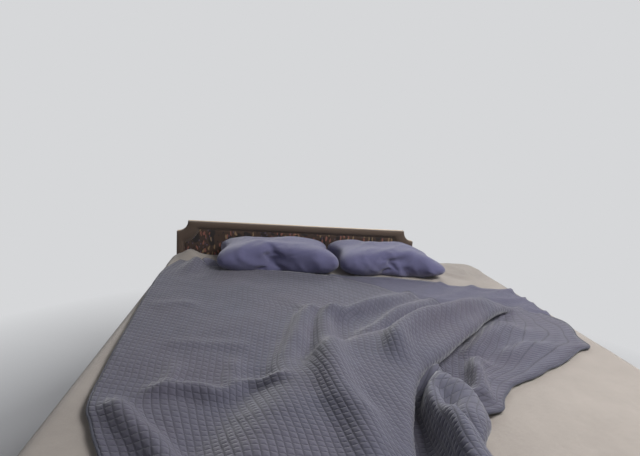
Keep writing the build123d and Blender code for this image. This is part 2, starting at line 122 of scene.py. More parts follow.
def mesh_piece(name, points, faces, smooth=True):
    """A mesh object at the origin, from points in metres and faces."""
    mesh = bpy.data.meshes.new(name)
    mesh.from_pydata([tuple(p) for p in points], [], [tuple(f) for f in faces])
    mesh.update()
    mesh.polygons.foreach_set("use_smooth", [smooth] * len(mesh.polygons))
    piece = bpy.data.objects.new(name, mesh)
    bpy.context.scene.collection.objects.link(piece)
    return piece


floor_half = 40
corners = [(x * floor_half, y * floor_half, 0) for x, y in ((-1, -1), (1, -1), (1, 1), (-1, 1))]
floor = mesh_piece("floor", corners, [(0, 1, 2, 3)], smooth=False)
print(len(LAMPS), "lamps and a floor")

# %% [markdown]
# ## Node helpers
# A material's node tree is easier to read when a line of script makes one node and its links. `Nodes` does that:
# `add` makes a node, sets its properties, and fills its inputs with numbers or with the outputs of other nodes.
# `Finish` is a material with a Principled shader, and with the few things that nearly every finish here reads.

# %% A small writer for node trees
def srgb(red, green, blue):
    """A colour as it looks on a screen, 0 to 255, as the linear colour that shaders want."""
    steps = (c / 255 for c in (red, green, blue))
    return (*(c / 12.92 if c <= 0.04045 else ((c + 0.055) / 1.055) ** 2.4 for c in steps), 1)


class Nodes:
    """Writes nodes into one tree."""

    def __init__(self, tree):
        self.tree = tree

    def add(self, kind, inputs=None, **properties):
        node = self.tree.nodes.new(kind)
        for key, value in properties.items():
            setattr(node, key, value)
        for key, value in (inputs or {}).items():
            self.put(node.inputs[key], value)
        return node

    def put(self, socket, value):
        if isinstance(value, bpy.types.NodeSocket):
            self.tree.links.new(value, socket)
        else:
            socket.default_value = value

    def math(self, operation, a, b=0.0, clamp=False):
        return self.add("ShaderNodeMath", {0: a, 1: b}, operation=operation, use_clamp=clamp).outputs[0]

    def times(self, a, b, clamp=False):
        return self.math("MULTIPLY", a, b, clamp)

    def plus(self, value, mask, amount=1.0, clamp=False):
        """A value with some of a mask added."""
        return self.math("ADD", value, mask if amount == 1.0 else self.times(mask, amount), clamp)

    def vector(self, operation, a, b=(0, 0, 0)):
        return self.add("ShaderNodeVectorMath", {0: a, 1: b}, operation=operation).outputs

    def mix(self, factor, a, b):
        """Mixes two colours; three numbers are a screen colour."""
        a, b = (srgb(*colour) if isinstance(colour, tuple) else colour for colour in (a, b))
        return self.add("ShaderNodeMix", {0: factor, 6: a, 7: b}, data_type="RGBA").outputs[2]

    def tinted(self, colour, mask, strength, other):
        """A colour with another one over it, where a mask says so."""
        return self.mix(self.times(mask, strength), colour, other)

    def noise(self, vector, scale, detail=3.0, roughness=0.5):
        inputs = {"Vector": vector, "Scale": scale, "Detail": detail, "Roughness": roughness}
        return self.add("ShaderNodeTexNoise", inputs).outputs["Fac"]

    def span(self, value, low, high, to_low=0.0, to_high=1.0):
        """Maps low..high to to_low..to_high, clamped."""
        inputs = {"Value": value, "From Min": low, "From Max": high, "To Min": to_low, "To Max": to_high}
        return self.add("ShaderNodeMapRange", inputs, clamp=True).outputs[0]

    def scaled(self, vector, scale, turn=(0, 0, 0)):
        return self.add("ShaderNodeMapping", {"Vector": vector, "Scale": scale, "Rotation": turn}).outputs[0]

    def group(self, tree, **inputs):
        """Places a group and returns its outputs."""
        return self.add("ShaderNodeGroup", inputs, node_tree=tree).outputs


class Finish(Nodes):
    """A material: a Principled shader with plain sockets set by keywords, and what most finishes read."""

    def __init__(self, name, **sockets):
        self.material = bpy.data.materials.new(name)
        self.material.use_nodes = True
        super().__init__(self.material.node_tree)
        self.shader = self.tree.nodes["Principled BSDF"]
        for key, value in sockets.items():
            self.shader.inputs[key.replace("_", " ")].default_value = value
        self.place = self.add("ShaderNodeTexCoord").outputs["Object"]

    def flat_cloth(self):
        return self.add("ShaderNodeUVMap", uv_map="cloth").outputs[0]

    def upright(self):
        return self.scaled(self.place, (1, 1, 1), (math.pi / 2, 0, 0))

    def blotches(self, size):
        return self.group(blotch_tree, Vector=self.place, Size=size)

    def worn(self, width, amount):
        return self.group(wear_tree, Vector=self.place, Width=width, Amount=amount)["Mask"]

    def threads(self, vector, thread, slub):
        return self.group(weave_tree, Vector=vector, Thread=thread, Slub=slub)

    def done(self, colour, relief, depth, strength, rough=None):
        """Links colour, roughness and relief (with its depth in metres) and returns the material."""
        self.put(self.shader.inputs["Base Color"], colour)
        if rough is not None:
            self.put(self.shader.inputs["Roughness"], rough)
        bump = self.add("ShaderNodeBump", {"Height": relief, "Distance": depth, "Strength": strength}).outputs[0]
        self.put(self.shader.inputs["Normal"], bump)
        return self.material


def node_group(name, outputs, **numbers):
    """An empty shader group that reads a Vector and numbers, given with their defaults, and gives numbers."""
    tree = bpy.data.node_groups.new(name, "ShaderNodeTree")
    tree.interface.new_socket("Vector", in_out="INPUT", socket_type="NodeSocketVector")
    for key, value in numbers.items():
        tree.interface.new_socket(key, in_out="INPUT", socket_type="NodeSocketFloat").default_value = value
    for key in outputs:
        tree.interface.new_socket(key, in_out="OUTPUT", socket_type="NodeSocketFloat")
    return tree, Nodes(tree), tree.nodes.new("NodeGroupInput").outputs, tree.nodes.new("NodeGroupOutput").inputs


print("helpers ready")

# %% Pale wall and floor
PALE = srgb(214, 215, 217)
fade_from, fade_to = 1.5, 2.6                # the floor turns into the wall between these distances from the bed


def seen_directly(nodes):
    """1 for rays of the camera, of a gloss or through glass, 0 for the light that falls on the bed."""
    path = nodes.add("ShaderNodeLightPath").outputs
    looks = nodes.math("MAXIMUM", path["Is Camera Ray"], path["Is Glossy Ray"])
    return nodes.math("MAXIMUM", looks, path["Is Transmission Ray"])


def show_pale(nodes, factor, lit, kind, output):
    """Mixes a pale glow into what is lit, and links it to the tree's output."""
    wall = nodes.add(kind, {"Color": PALE, "Strength": 1.0}).outputs[0]
    shown = nodes.add("ShaderNodeMixShader", {0: factor, 1: lit.outputs[0], 2: wall}).outputs[0]
    nodes.put(nodes.tree.nodes[output].inputs["Surface"], shown)


world = bpy.data.worlds.new("soft_room")
bpy.context.scene.world = world
world.use_nodes = True
nodes = Nodes(world.node_tree)
light = world.node_tree.nodes["Background"]
light.inputs["Color"].default_value = (0.86, 0.89, 0.95, 1)
light.inputs["Strength"].default_value = 0.13
show_pale(nodes, seen_directly(nodes), light, "ShaderNodeBackground", "World Output")

nodes = Finish("pale_floor", Base_Color=PALE, Roughness=0.9)
away = nodes.vector("LENGTH", nodes.place)["Value"]
far = nodes.times(nodes.span(away, fade_from, fade_to), seen_directly(nodes))
show_pale(nodes, far, nodes.shader, "ShaderNodeEmission", "Material Output")
floor.data.materials.append(nodes.material)
print("wall and floor are one pale tone")

# %% [markdown]
# ## Shader groups
# Some effects are needed on more than one finish, so each is a group with named inputs and outputs, built once:
# wood grain, wear along edges, a woven thread pattern, and soft blotches such as fading and handling leave. A group
# only gives masks and heights; each material decides what colour they become.

# %% Group: wood grain
grain_tree, grain, given, gives = node_group("wood_grain", ("Figure", "Pores"), Figure=1.0, Pores=1.0)
bent = grain.times(grain.noise(given["Vector"], 1.4, 2.0), 0.35)
shifted = grain.vector("ADD", given["Vector"], grain.add("ShaderNodeCombineXYZ", {"X": bent}).outputs[0])[0]
rings = {"Vector": shifted, "Scale": 5.0, "Distortion": 3.5, "Detail": 3.0, "Detail Scale": 1.2}
bands = grain.add("ShaderNodeTexWave", rings, wave_type="RINGS", rings_direction="Y").outputs["Fac"]
fibre = grain.noise(grain.scaled(given["Vector"], (60, 3, 60)), 2.2, 4.0, 0.6)
pores = grain.noise(grain.scaled(given["Vector"], (160, 6, 160)), 3.0, 2.0, 0.5)
figure = grain.plus(grain.times(bands, 0.6), fibre, 0.4)
grain.put(gives["Figure"], grain.times(figure, given["Figure"], clamp=True))
grain.put(gives["Pores"], grain.times(grain.span(pores, 0.56, 0.70), given["Pores"], clamp=True))

# %% Group: worn edges
wear_tree, wear, given, gives = node_group("edge_wear", ("Mask",), Width=0.003, Amount=1.0)
rounded = wear.add("ShaderNodeBevel", {"Radius": given["Width"]}, samples=4).outputs[0]
straight = wear.add("ShaderNodeNewGeometry").outputs["Normal"]
edge = wear.span(wear.vector("DOT_PRODUCT", rounded, straight)["Value"], 0.985, 0.86)
patches = wear.span(wear.noise(given["Vector"], 26.0, 4.0, 0.65), 0.38, 0.62)
wear.put(gives["Mask"], wear.times(wear.times(edge, patches), given["Amount"], clamp=True))

# %% Group: plain weave
weave_tree, weave, given, gives = node_group("plain_weave", ("Height", "Shade"), Thread=0.0009, Slub=0.4)
per_thread = weave.math("DIVIDE", math.pi, given["Thread"])
axes = weave.add("ShaderNodeSeparateXYZ", {0: given["Vector"]}).outputs
crossing = weave.times(*(weave.math("SINE", weave.times(axes[k], per_thread)) for k in (0, 1)))
slub = weave.noise(weave.scaled(given["Vector"], (1, 9, 1)), 130.0, 2.0)
height = weave.math("ADD", weave.times(crossing, 0.5), 0.5)
weave.put(gives["Height"], height)
weave.put(gives["Shade"], weave.plus(weave.times(height, 0.5), slub, given["Slub"]))

# %% Group: blotches of fading and handling
blotch_tree, blotch, given, gives = node_group("blotches", ("Broad", "Fine"), Size=0.25)
rate = blotch.math("DIVIDE", 1.0, given["Size"])
for name, rates, roughness in (("Broad", rate, 0.55), ("Fine", blotch.times(rate, 9.0), 0.6)):
    blotch.put(gives[name], blotch.span(blotch.noise(given["Vector"], rates, 3.0, roughness), 0.30, 0.70))
print("groups:", [tree.name for tree in bpy.data.node_groups])

# %% [markdown]
# ## Hard finishes
# The cabinet's show faces are cherry with a satin lacquer, and the boards behind them are pale plywood. On real
# furniture the grain runs along each board, so each wood is made three times, once for each direction, and every
# board takes the one that matches its longest side. The steel is drawn or brushed, so its scratches run one way.

# %% Cherry, plywood and steel
TURNS = {"x": (0, 0, math.pi / 2), "y": (0, 0, 0), "z": (math.pi / 2, 0, 0)}
# size of the grain, its figure and pores, size of the blotches, worn edges (width, amount), the wood's two colours,
# strength and colour of its pores and of its fading, colour of worn edges, roughness and how much it varies,
# relief (from figure or pores, its sense and depth), and plain sockets
WOODS = {
    "cherry": (1.0, 1.0, 0.8, 0.5, (0.0025, 0.75), ((92, 38, 21), (140, 70, 40)), (0.55, (54, 21, 12)),
               (0.35, (112, 44, 22)), (176, 110, 70), (0.26, 0.12), ("Pores", -1.0, 0.0003),
               {"Coat_Weight": 0.35, "Coat_Roughness": 0.18}),
    "plywood": (0.6, 0.9, 0.5, 0.35, (0.002, 0.6), ((196, 166, 124), (220, 194, 154)), (0.4, (150, 116, 78)),
                (0.25, (186, 150, 106)), (142, 112, 80), (0.52, 0.18), ("Figure", 1.0, 0.0002), {}),
}


def wood(name, direction):
    """Cherry under satin lacquer or pale plywood, with its grain along a direction and rubbed edges."""
    size, figure, pores, blotch_size, edge, tones, pore, faded, rubbed, rough, relief, sockets = WOODS[name]
    nodes = Finish(f"{name}_along_{direction}", **sockets)
    along = nodes.scaled(nodes.place, (size, size, size), TURNS[direction])
    grain = nodes.group(grain_tree, Vector=along, Figure=figure, Pores=pores)
    blot = nodes.blotches(blotch_size)
    colour = nodes.tinted(nodes.mix(grain["Figure"], *tones), grain["Pores"], *pore)
    colour = nodes.mix(nodes.worn(*edge), nodes.tinted(colour, blot["Broad"], *faded), rubbed)
    which, sense, depth = relief
    rough = nodes.plus(rough[0], blot["Fine"], rough[1])
    return nodes.done(colour, nodes.times(grain[which], sense), depth, 0.5, rough)


def steel(name, direction):
    """Zinc-grey steel with fine scratches along the piece and dull finger marks."""
    nodes = Finish(f"{name}_along_{direction}", Metallic=1.0)
    along = nodes.scaled(nodes.place, (1, 1, 1), TURNS[direction])
    scratches = nodes.noise(nodes.scaled(along, (900, 12, 900)), 1.0, 3.0, 0.6)
    blot = nodes.blotches(0.05)
    colour = nodes.mix(scratches, (172, 170, 163), (206, 203, 196))
    colour = nodes.tinted(colour, blot["Broad"], 0.25, (140, 136, 128))
    colour = nodes.mix(nodes.worn(0.001, 0.8), colour, (226, 224, 218))
    rough = nodes.plus(nodes.plus(0.24, scratches, 0.16), blot["Fine"], 0.10)
    return nodes.done(colour, scratches, 0.00008, 0.6, rough)


hard_finishes = {(slot, direction): make(slot, direction)
                 for slot, make in (("cherry", wood), ("plywood", wood), ("steel", steel)) for direction in "xyz"}
print(len(hard_finishes), "hard finishes")

# %% Give every hard CAD node its finish
def long_way(name):
    """The letter of a node's longest side."""
    low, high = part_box(name)
    return max("xyz", key=lambda letter: high["xyz".index(letter)] - low["xyz".index(letter)])


grain_turned = {"drawer_front_left": "x", "drawer_front_right": "x", "headboard_backing": "x"}
dressed = 0
for node_name, node in frame["nodes"].items():
    finish = hard_finishes.get((slot_of[node_name], grain_turned.get(node_name, long_way(node_name))))
    if finish:
        node.material_slots[0].material = finish
        dressed += 1
print(dressed, "CAD nodes have a hard finish")

# %% [markdown]
# ## Cloth finishes
# All the cloth is cotton or a cotton blend. What the eye takes as cloth is, at this distance, soft sheen, slightly
# uneven colour, and a fine weave in the highlights. The bedding's finishes read the piece's own UV map, laid out in
# metres of flat cloth, so the threads bend with the folds. The headboard's fabrics and the mattress's ticking are
# pulled tight over foam, so they read places on the object.

# %% Plain cottons
def cotton(name, dark, light, sheen=0.25):
    """A plain woven cotton between two colours."""
    nodes = Finish(name, Sheen_Weight=sheen, Sheen_Roughness=0.5, Specular_IOR_Level=0.25)
    threads, blot = nodes.threads(nodes.flat_cloth(), 0.0008, 0.45), nodes.blotches(0.22)
    tone = nodes.plus(nodes.times(threads["Shade"], 0.35), blot["Broad"], 0.5)
    colour = nodes.mix(nodes.plus(tone, blot["Fine"], 0.15, clamp=True), dark, light)
    creases = nodes.times(nodes.noise(nodes.place, 42.0, 4.0, 0.6), 4.0)
    relief = nodes.plus(creases, threads["Height"])
    return nodes.done(colour, relief, 0.0004, 0.8, nodes.plus(0.82, blot["Fine"], 0.12))


white_cotton = cotton("white_cotton", (152, 143, 136), (180, 171, 163))
# the flat sheet's blue is the pillows' cotton made darker: painted shade, as the sheet lies in the shade of the pillows
# and the quilt
blue_cotton = cotton("blue_cotton", (84, 82, 100), (102, 101, 122))
binding_cotton = cotton("binding_cotton", (62, 62, 74), (82, 83, 97))
pillow_cotton = cotton("pillow_cotton", (90, 88, 118), (112, 111, 146), sheen=0.4)

# %% Quilted cotton
stitch_square = 0.020                        # the coverlet is stitched in squares of this side


def quilted_cotton(name):
    """Two faded blue-grey threads, with painted shade darkening the stitched valleys, and small puckers along them."""
    nodes = Finish(name, Sheen_Weight=0.35, Sheen_Roughness=0.45, Specular_IOR_Level=0.2)
    flat_cloth = nodes.flat_cloth()
    axes = nodes.add("ShaderNodeSeparateXYZ", {0: flat_cloth}).outputs
    waves = [nodes.math("ABSOLUTE", nodes.math("SINE", nodes.times(axes[k], math.pi / stitch_square)))
             for k in (0, 1)]
    puff = nodes.math("MINIMUM", *(nodes.math("POWER", wave, power) for wave, power in zip(waves, (0.45, 0.32))))
    seams = [nodes.span(wave, 0.0, 0.24, 1.0, 0.0) for wave in waves]
    seam = nodes.math("MAXIMUM", seams[0], nodes.times(seams[1], 0.6))
    puckers = nodes.times(nodes.noise(flat_cloth, 420.0, 2.0, 0.6), seam)
    threads, blot = nodes.threads(flat_cloth, 0.0011, 0.5), nodes.blotches(0.30)
    tone = nodes.plus(nodes.times(threads["Shade"], 0.3), blot["Fine"], 0.4)
    colour = nodes.tinted(nodes.mix(tone, (82, 82, 96), (106, 107, 123)), blot["Broad"], 0.45, (104, 97, 108))
    # painted shade: the stitched valleys are darkened in the colour, where the puffs would shade them
    colour = nodes.tinted(colour, seam, 0.62, (34, 34, 44))
    return nodes.done(colour, nodes.plus(puff, puckers, 0.5), 0.0028, 0.9, nodes.plus(0.84, blot["Fine"], 0.1))


quilt_finish = quilted_cotton("quilted_cotton")

# %% Headboard fabrics and mattress cover
def taupe_fabric(name):
    """A soft close weave, brown-grey, lighter where it has been brushed against."""
    nodes = Finish(name, Roughness=0.85, Sheen_Weight=0.5, Sheen_Roughness=0.4)
    threads, blot = nodes.threads(nodes.upright(), 0.0016, 0.5), nodes.blotches(0.12)
    colour = nodes.tinted((74, 60, 51), threads["Shade"], 0.8, (112, 94, 81))
    colour = nodes.tinted(colour, blot["Broad"], 0.3, (84, 67, 57))
    colour = nodes.mix(nodes.worn(0.006, 0.5), colour, (126, 108, 95))
    return nodes.done(colour, threads["Height"], 0.0005, 0.8)


# cells to the metre across and up, turn, widest distance from a cell's middle, colour, share of cells
PRINTS = (((25, 15), 0.35, 0.44, (15, 13, 15), 0.66), ((62, 22), 0.62, 0.27, (150, 96, 84), 0.50),
          ((56, 20), -0.55, 0.25, (150, 124, 94), 0.46), ((48, 40), 0.1, 0.20, (26, 21, 24), 0.50),
          ((80, 30), 0.95, 0.20, (96, 82, 104), 0.30))


def patterned_fabric(name):
    """A printed upholstery weave: large black blots on dark brown, with slanting blades of rose, tan and mauve."""
    nodes = Finish(name, Roughness=0.85, Sheen_Weight=0.2, Sheen_Roughness=0.5)
    upright = nodes.upright()
    wander = nodes.add("ShaderNodeTexNoise", {"Vector": upright, "Scale": 22.0}).outputs["Color"]
    wavy = nodes.vector("ADD", upright, nodes.scaled(wander, (0.03, 0.03, 0.03)))[0]
    colour = nodes.mix(nodes.noise(upright, 24.0, 3.0), (46, 34, 29), (84, 62, 50))
    for (across, up), turn, reach, ink, share in PRINTS:
        cells = {"Vector": nodes.scaled(wavy, (across, up, 0), (0, 0, turn)), "Scale": 1.0, "Randomness": 0.85}
        cells = nodes.add("ShaderNodeTexVoronoi", cells, voronoi_dimensions="2D").outputs
        chosen = nodes.add("ShaderNodeSeparateXYZ", {0: cells["Color"]}).outputs[0]
        blade = nodes.span(cells["Distance"], reach, reach - 0.06)
        colour = nodes.tinted(colour, blade, nodes.math("LESS_THAN", chosen, share), ink)
    threads, blot = nodes.threads(upright, 0.0014, 0.4), nodes.blotches(0.15)
    colour = nodes.tinted(colour, threads["Shade"], 0.15, (104, 86, 74))
    return nodes.done(nodes.tinted(colour, blot["Broad"], 0.2, (40, 30, 28)), threads["Height"], 0.0005, 0.8)


def mattress_cover(name):
    """Off-white ticking with faint woven stripes."""
    nodes = Finish(name, Roughness=0.8, Sheen_Weight=0.2)
    threads, blot = nodes.threads(nodes.place, 0.0015, 0.4), nodes.blotches(0.3)
    across = nodes.add("ShaderNodeSeparateXYZ", {0: nodes.place}).outputs[0]
    stripe = nodes.span(nodes.math("SINE", nodes.times(across, 210.0)), 0.75, 0.95)
    colour = nodes.mix(threads["Shade"], (196, 189, 178), (226, 221, 210))
    colour = nodes.tinted(colour, stripe, 0.6, (150, 160, 176))
    return nodes.done(nodes.tinted(colour, blot["Broad"], 0.25, (186, 174, 156)), threads["Height"], 0.0004, 0.7)


border_finish = taupe_fabric("taupe_fabric")
insert_finish = patterned_fabric("patterned_fabric")
cover_finish = mattress_cover("mattress_cover")
print("cloth finishes:", [m.name for m in bpy.data.materials if "along" not in m.name])

# %% [markdown]
# ## From points to finished pieces
# All the soft pieces end in the same few steps: lay out UVs in metres of cloth, give the cloth a thickness with a
# Solidify modifier, turn the result into a plain mesh, and hang the piece on the empty of the body it rides on and
# hide the CAD solid it stands for. Helpers keep those steps the same everywhere.

# %% Cloth helpers
def grid_faces(across, along):
    """Quads of a grid of (across + 1) x (along + 1) points, facing up where rows run from +Y to -Y."""
    step = across + 1
    return [(j * step + i, (j + 1) * step + i, (j + 1) * step + i + 1, j * step + i + 1)
            for j in range(along) for i in range(across)]


def grid_rim(across, along):
    """Columns and rows of a grid's outer points, once round."""
    return ([(i, 0) for i in range(across)] + [(across, j) for j in range(along)]
            + [(i, along) for i in range(across, 0, -1)] + [(0, j) for j in range(along, 0, -1)])


def ring_faces(count, rows, closed=False):
    """Quads between rings of count points each; closed joins the last ring to the first."""
    return [(r * count + k, r * count + (k + 1) % count, (r + 1) % rows * count + (k + 1) % count,
             (r + 1) % rows * count + k) for r in range(rows if closed else rows - 1) for k in range(count)]


def lay_uv(piece, flat_points):
    """Stores each vertex's place on the flat cloth, in metres, as the UV map that the cloth finishes read."""
    layer = piece.data.uv_layers.new(name="cloth")
    corners = np.empty(len(piece.data.loops), np.int32)
    piece.data.loops.foreach_get("vertex_index", corners)
    layer.data.foreach_set("uv", np.asarray(flat_points, np.float32)[corners].ravel())


def apply_modifiers(piece):
    """Turns the piece with its modifiers into a plain mesh."""
    depsgraph = bpy.context.evaluated_depsgraph_get()
    mesh = bpy.data.meshes.new_from_object(piece.evaluated_get(depsgraph), preserve_all_data_layers=True,
                                           depsgraph=depsgraph)
    piece.modifiers.clear()
    piece.data = mesh
    return piece


def thicken(piece, thickness):
    """Gives a cloth its thickness, half on each side."""
    solid = piece.modifiers.new("solid", "SOLIDIFY")
    solid.thickness, solid.offset, solid.use_even_offset = thickness, 0.0, False
    return apply_modifiers(piece)


def place_piece(piece, body, finish, slot, *nodes):
    """Finish, body, slot and the CAD nodes that the piece stands for; the slot is not used."""
    piece.data.materials.clear()
    piece.data.materials.append(finish)
    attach(piece, body)
    if nodes:
        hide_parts(*nodes)
    faces = sum(len(p.vertices) - 2 for p in piece.data.polygons)
    print(f"{piece.name}: {len(piece.data.vertices)} points, {faces} triangles")
    return piece


def orient(piece):
    """Turns every face outwards."""
    mesh = bmesh.new()
    mesh.from_mesh(piece.data)
    bmesh.ops.recalc_face_normals(mesh, faces=mesh.faces)
    mesh.to_mesh(piece.data)
    mesh.free()
    return piece


def ridged(x, y, seed):
    """Noise with sharp crests, from 0 to 1: what creased cloth looks like."""
    return max(0.0, 1 - abs(noise.noise(Vector((x, y, seed)))) * 2.4)


def soft_step(value):
    """0 below 0 and 1 above 1, with a smooth rise between them."""
    t = np.clip(value, 0, 1)
    return t * t * (3 - 2 * t)


def hump(x, y, middle, size):
    """A round hump of height 1, from its middle and its half widths."""
    return math.exp(-((x - middle[0]) / size[0]) ** 2 - ((y - middle[1]) / size[1]) ** 2)


def unit(vectors):
    """Rows of vectors at length 1."""
    return vectors / np.linalg.norm(vectors, axis=1)[:, None]

# %% [markdown]
# ## Geometry Nodes helpers
# What repeats, or follows an edge, is made by Geometry Nodes. A tree gets points or edges from the script and named
# sizes as inputs. It always ends in the same way: its instances are made real, and the finish is set, because an
# export keeps neither instances nor a finish that only the modifier knows. The result is then kept as a plain mesh.

# %% Geometry Nodes helpers
def geometry_tree(name, **inputs):
    """An empty Geometry Nodes tree with named inputs; returns it, its writer and the inputs' sockets."""
    tree = bpy.data.node_groups.new(name, "GeometryNodeTree")
    tree.is_modifier = True
    for key, kind in {"Geometry": "Geometry", **inputs}.items():
        tree.interface.new_socket(key, in_out="INPUT", socket_type=f"NodeSocket{kind}")
    tree.interface.new_socket("Geometry", in_out="OUTPUT", socket_type="NodeSocketGeometry")
    nodes = Nodes(tree)
    return tree, nodes, nodes.add("NodeGroupInput").outputs


def end_tree(tree, nodes, made, given, smooth):
    """Realize Instances, shading, Set Material and the output."""
    solid = nodes.add("GeometryNodeRealizeInstances", {0: made}).outputs[0]
    shaded = nodes.add("GeometryNodeSetShadeSmooth", {"Geometry": solid, "Shade Smooth": smooth}).outputs[0]
    done = nodes.add("GeometryNodeSetMaterial", {"Geometry": shaded, "Material": given["Finish"]}).outputs[0]
    nodes.add("NodeGroupOutput", {"Geometry": done})
    return tree


def run_tree(name, points, edges, tree, axes=None, **values):
    """Runs a tree on points and edges, with an axis for each point if needed, and keeps the result as a plain mesh."""
    mesh = bpy.data.meshes.new(name)
    mesh.from_pydata([tuple(p) for p in points], edges, [])
    if axes is not None:
        rows = mesh.attributes.new("axis", "FLOAT_VECTOR", "POINT").data
        rows.foreach_set("vector", np.ravel(axes).astype(np.float32))
    piece = bpy.data.objects.new(name, mesh)
    bpy.context.scene.collection.objects.link(piece)
    modifier = piece.modifiers.new("tree", "NODES")
    modifier.node_group = tree
    for socket in tree.interface.items_tree:
        if socket.in_out == "INPUT" and socket.name in values:
            modifier[socket.identifier] = values[socket.name]
    return orient(apply_modifiers(piece))


# %% [markdown]
# ## Screws
# The bed is held by plain cross-recessed screws: through the headboard's struts from behind, through the steel angles
# into the floor and the plinth, and through the drawer boxes into the feet of the handles. One head is drawn as a low
# cone with a cross cut out of it, and the tree sets a copy on every point, turned to the way that the head faces.

# %% Screw heads
def screw_tree():
    """A cross-recessed head on each point, turned to the point's axis."""
    tree, nodes, given = geometry_tree("screw_heads", Radius="Float", Height="Float", Finish="Material")
    radius, height = given["Radius"], given["Height"]
    top_share, bar_length, bar_width, bar_rise = 0.66, 1.1, 0.24, 0.85       # shares of the radius and the height
    head = nodes.add("GeometryNodeMeshCone", {"Vertices": 18, "Radius Top": nodes.times(radius, top_share),
                                              "Radius Bottom": radius, "Depth": height}).outputs["Mesh"]
    size = nodes.add("ShaderNodeCombineXYZ", {"X": nodes.times(radius, bar_length), "Z": height,
                                              "Y": nodes.times(radius, bar_width)}).outputs[0]
    bar = nodes.add("GeometryNodeMeshCube", {"Size": size}).outputs["Mesh"]
    up = nodes.add("ShaderNodeCombineXYZ", {"Z": nodes.times(height, bar_rise)}).outputs[0]
    for turn in (0.4, 0.4 + math.pi / 2):
        cutter = nodes.add("GeometryNodeTransform", {"Geometry": bar, "Translation": up, "Rotation": (0, 0, turn)})
        head = nodes.add("GeometryNodeMeshBoolean", {0: head, 1: cutter.outputs[0]}, operation="DIFFERENCE").outputs[0]
    axis = nodes.add("GeometryNodeInputNamedAttribute", {"Name": "axis"}, data_type="FLOAT_VECTOR").outputs[0]
    turned = nodes.add("FunctionNodeAlignRotationToVector", {"Vector": axis}, axis="Z").outputs[0]
    placed = nodes.add("GeometryNodeInstanceOnPoints", {"Points": given["Geometry"], "Instance": head,
                                                        "Rotation": turned}).outputs[0]
    return end_tree(tree, nodes, placed, given, smooth=False)


head_radius, head_height, head_sunk = 0.0045, 0.0018, 0.0002
seats = {"bed": [], "drawer_left": [], "drawer_right": []}               # body: (place on the surface, axis)
struts_low, struts_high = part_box("headboard_struts")
strut_half, strut_rises = 0.0225, (0.060, 0.190, 0.440)                  # two wall holes, and a screw into the panel
for x in (struts_low[0] + strut_half, struts_high[0] - strut_half):
    seats["bed"] += [((x, struts_high[1], struts_low[2] + rise), (0, 1, 0)) for rise in strut_rises]
sheet_steel, bracket_half, bracket_hole, plinth_screw, plinth_rise = 0.003, 0.030, 0.022, 0.018, 0.024
for side, name in ((-1, "floor_brackets_left"), (1, "floor_brackets_right")):
    low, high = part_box(name)
    inner = min(abs(low[0]), abs(high[0]))
    for y in (low[1] + bracket_half, high[1] - bracket_half):
        seats["bed"].append(((side * (inner + bracket_hole), y, sheet_steel), (0, 0, 1)))
        seats["bed"] += [((side * (inner + sheet_steel), y + along, plinth_rise), (side, 0, 0))
                         for along in (-plinth_screw, plinth_screw)]
handle_foot, box_wall = 0.008, 0.012
for side in ("left", "right"):
    low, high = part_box(f"drawer_handle_{side}")
    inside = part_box(f"drawer_box_{side}")[0][1] + box_wall
    seats[f"drawer_{side}"] = [((x, inside, (low[2] + high[2]) / 2), (0, 1, 0))
                               for x in (low[0] + handle_foot, high[0] - handle_foot)]
heads = screw_tree()
for body, rows in seats.items():
    places = [Vector(place) - Vector(axis) * head_sunk for place, axis in rows]
    screws = run_tree(f"screws_{body}", places, [], heads, axes=[axis for _, axis in rows], Radius=head_radius,
                      Height=head_height, Finish=hard_finishes["steel", "y"])
    place_piece(screws, body, hard_finishes["steel", "y"], "steel")

# %% [markdown]
# ## Mattress
# Only a strip of the mattress shows, between the sheet's hem and the nosing, but its STL stands by itself, so it is
# made whole: boxed sides, rounded corners, and a taped edge round the top and the bottom. Rings of points, each a
# rounded rectangle, are lofted from bottom to top, with the tape as a small swelling.

# %% Mattress
def rounded_ring(half_x, half_y, corner, z, per_corner=8, per_side=6):
    """Points anticlockwise round a rounded rectangle, seen from above."""
    ring = []
    centres = [np.array(sign) * (half_x - corner, half_y - corner) for sign in ((1, 1), (-1, 1), (-1, -1), (1, -1))]
    for quarter, here in enumerate(centres):
        for step in range(per_corner + 1):
            angle = math.pi / 2 * (quarter + step / per_corner)
            place = here + corner * np.array((math.cos(angle), math.sin(angle)))
            ring.append((*place, z))
        side = centres[(quarter + 1) % 4] - here
        ring += [(*(place + side * k / per_side), z) for k in range(1, per_side)]
    return ring


def lofted(name, rings):
    """A closed form over rings of equal length, with a fan of faces at each end."""
    count = len(rings[0])
    points = [p for ring in rings for p in ring]
    faces = ring_faces(count, len(rings))
    for ring, start, turn in ((rings[0], 0, -1), (rings[-1], (len(rings) - 1) * count, 1)):
        faces += [(start + k, start + (k + 1) % count, len(points))[::turn] for k in range(count)]
        points.append(tuple(np.mean(ring, axis=0)))
    return mesh_piece(name, points, faces)


half_x, half_y = mattress_high.x, mattress_high.y
cover_inset, tape_width, corner_radius, crown = 0.004, 0.012, 0.060, 0.028
low, high = mattress_low.z, mattress_high.z


def tape(start):
    """Heights and insets of the taped edge, a half circle in section."""
    return [(start + tape_width * k / 4, cover_inset * (1 - math.sin(math.pi * k / 4))) for k in range(5)]


# height and inset of each ring, from the bottom to the top
profile = [(low, 0.040), (low, 0.016), (low + 0.003, 0.006)] + tape(low + 0.004)
profile += [(low + 0.05, cover_inset), ((low + high) / 2, cover_inset * 0.4), (high - 0.05, cover_inset)]
profile += tape(high - 0.040)
profile += [(high - crown * (1 - math.sin(a)), cover_inset + crown * (1 - math.cos(a)))
            for a in np.linspace(0.15, math.pi / 2, 6)]
profile += [(high, 0.10), (high, 0.30)]
mattress = lofted("mattress_body", [rounded_ring(half_x - inset, half_y - inset, max(corner_radius - inset, 0.012), z)
                                    for z, inset in profile])
place_piece(mattress, "bed", cover_finish, "mattress_cover", "mattress")

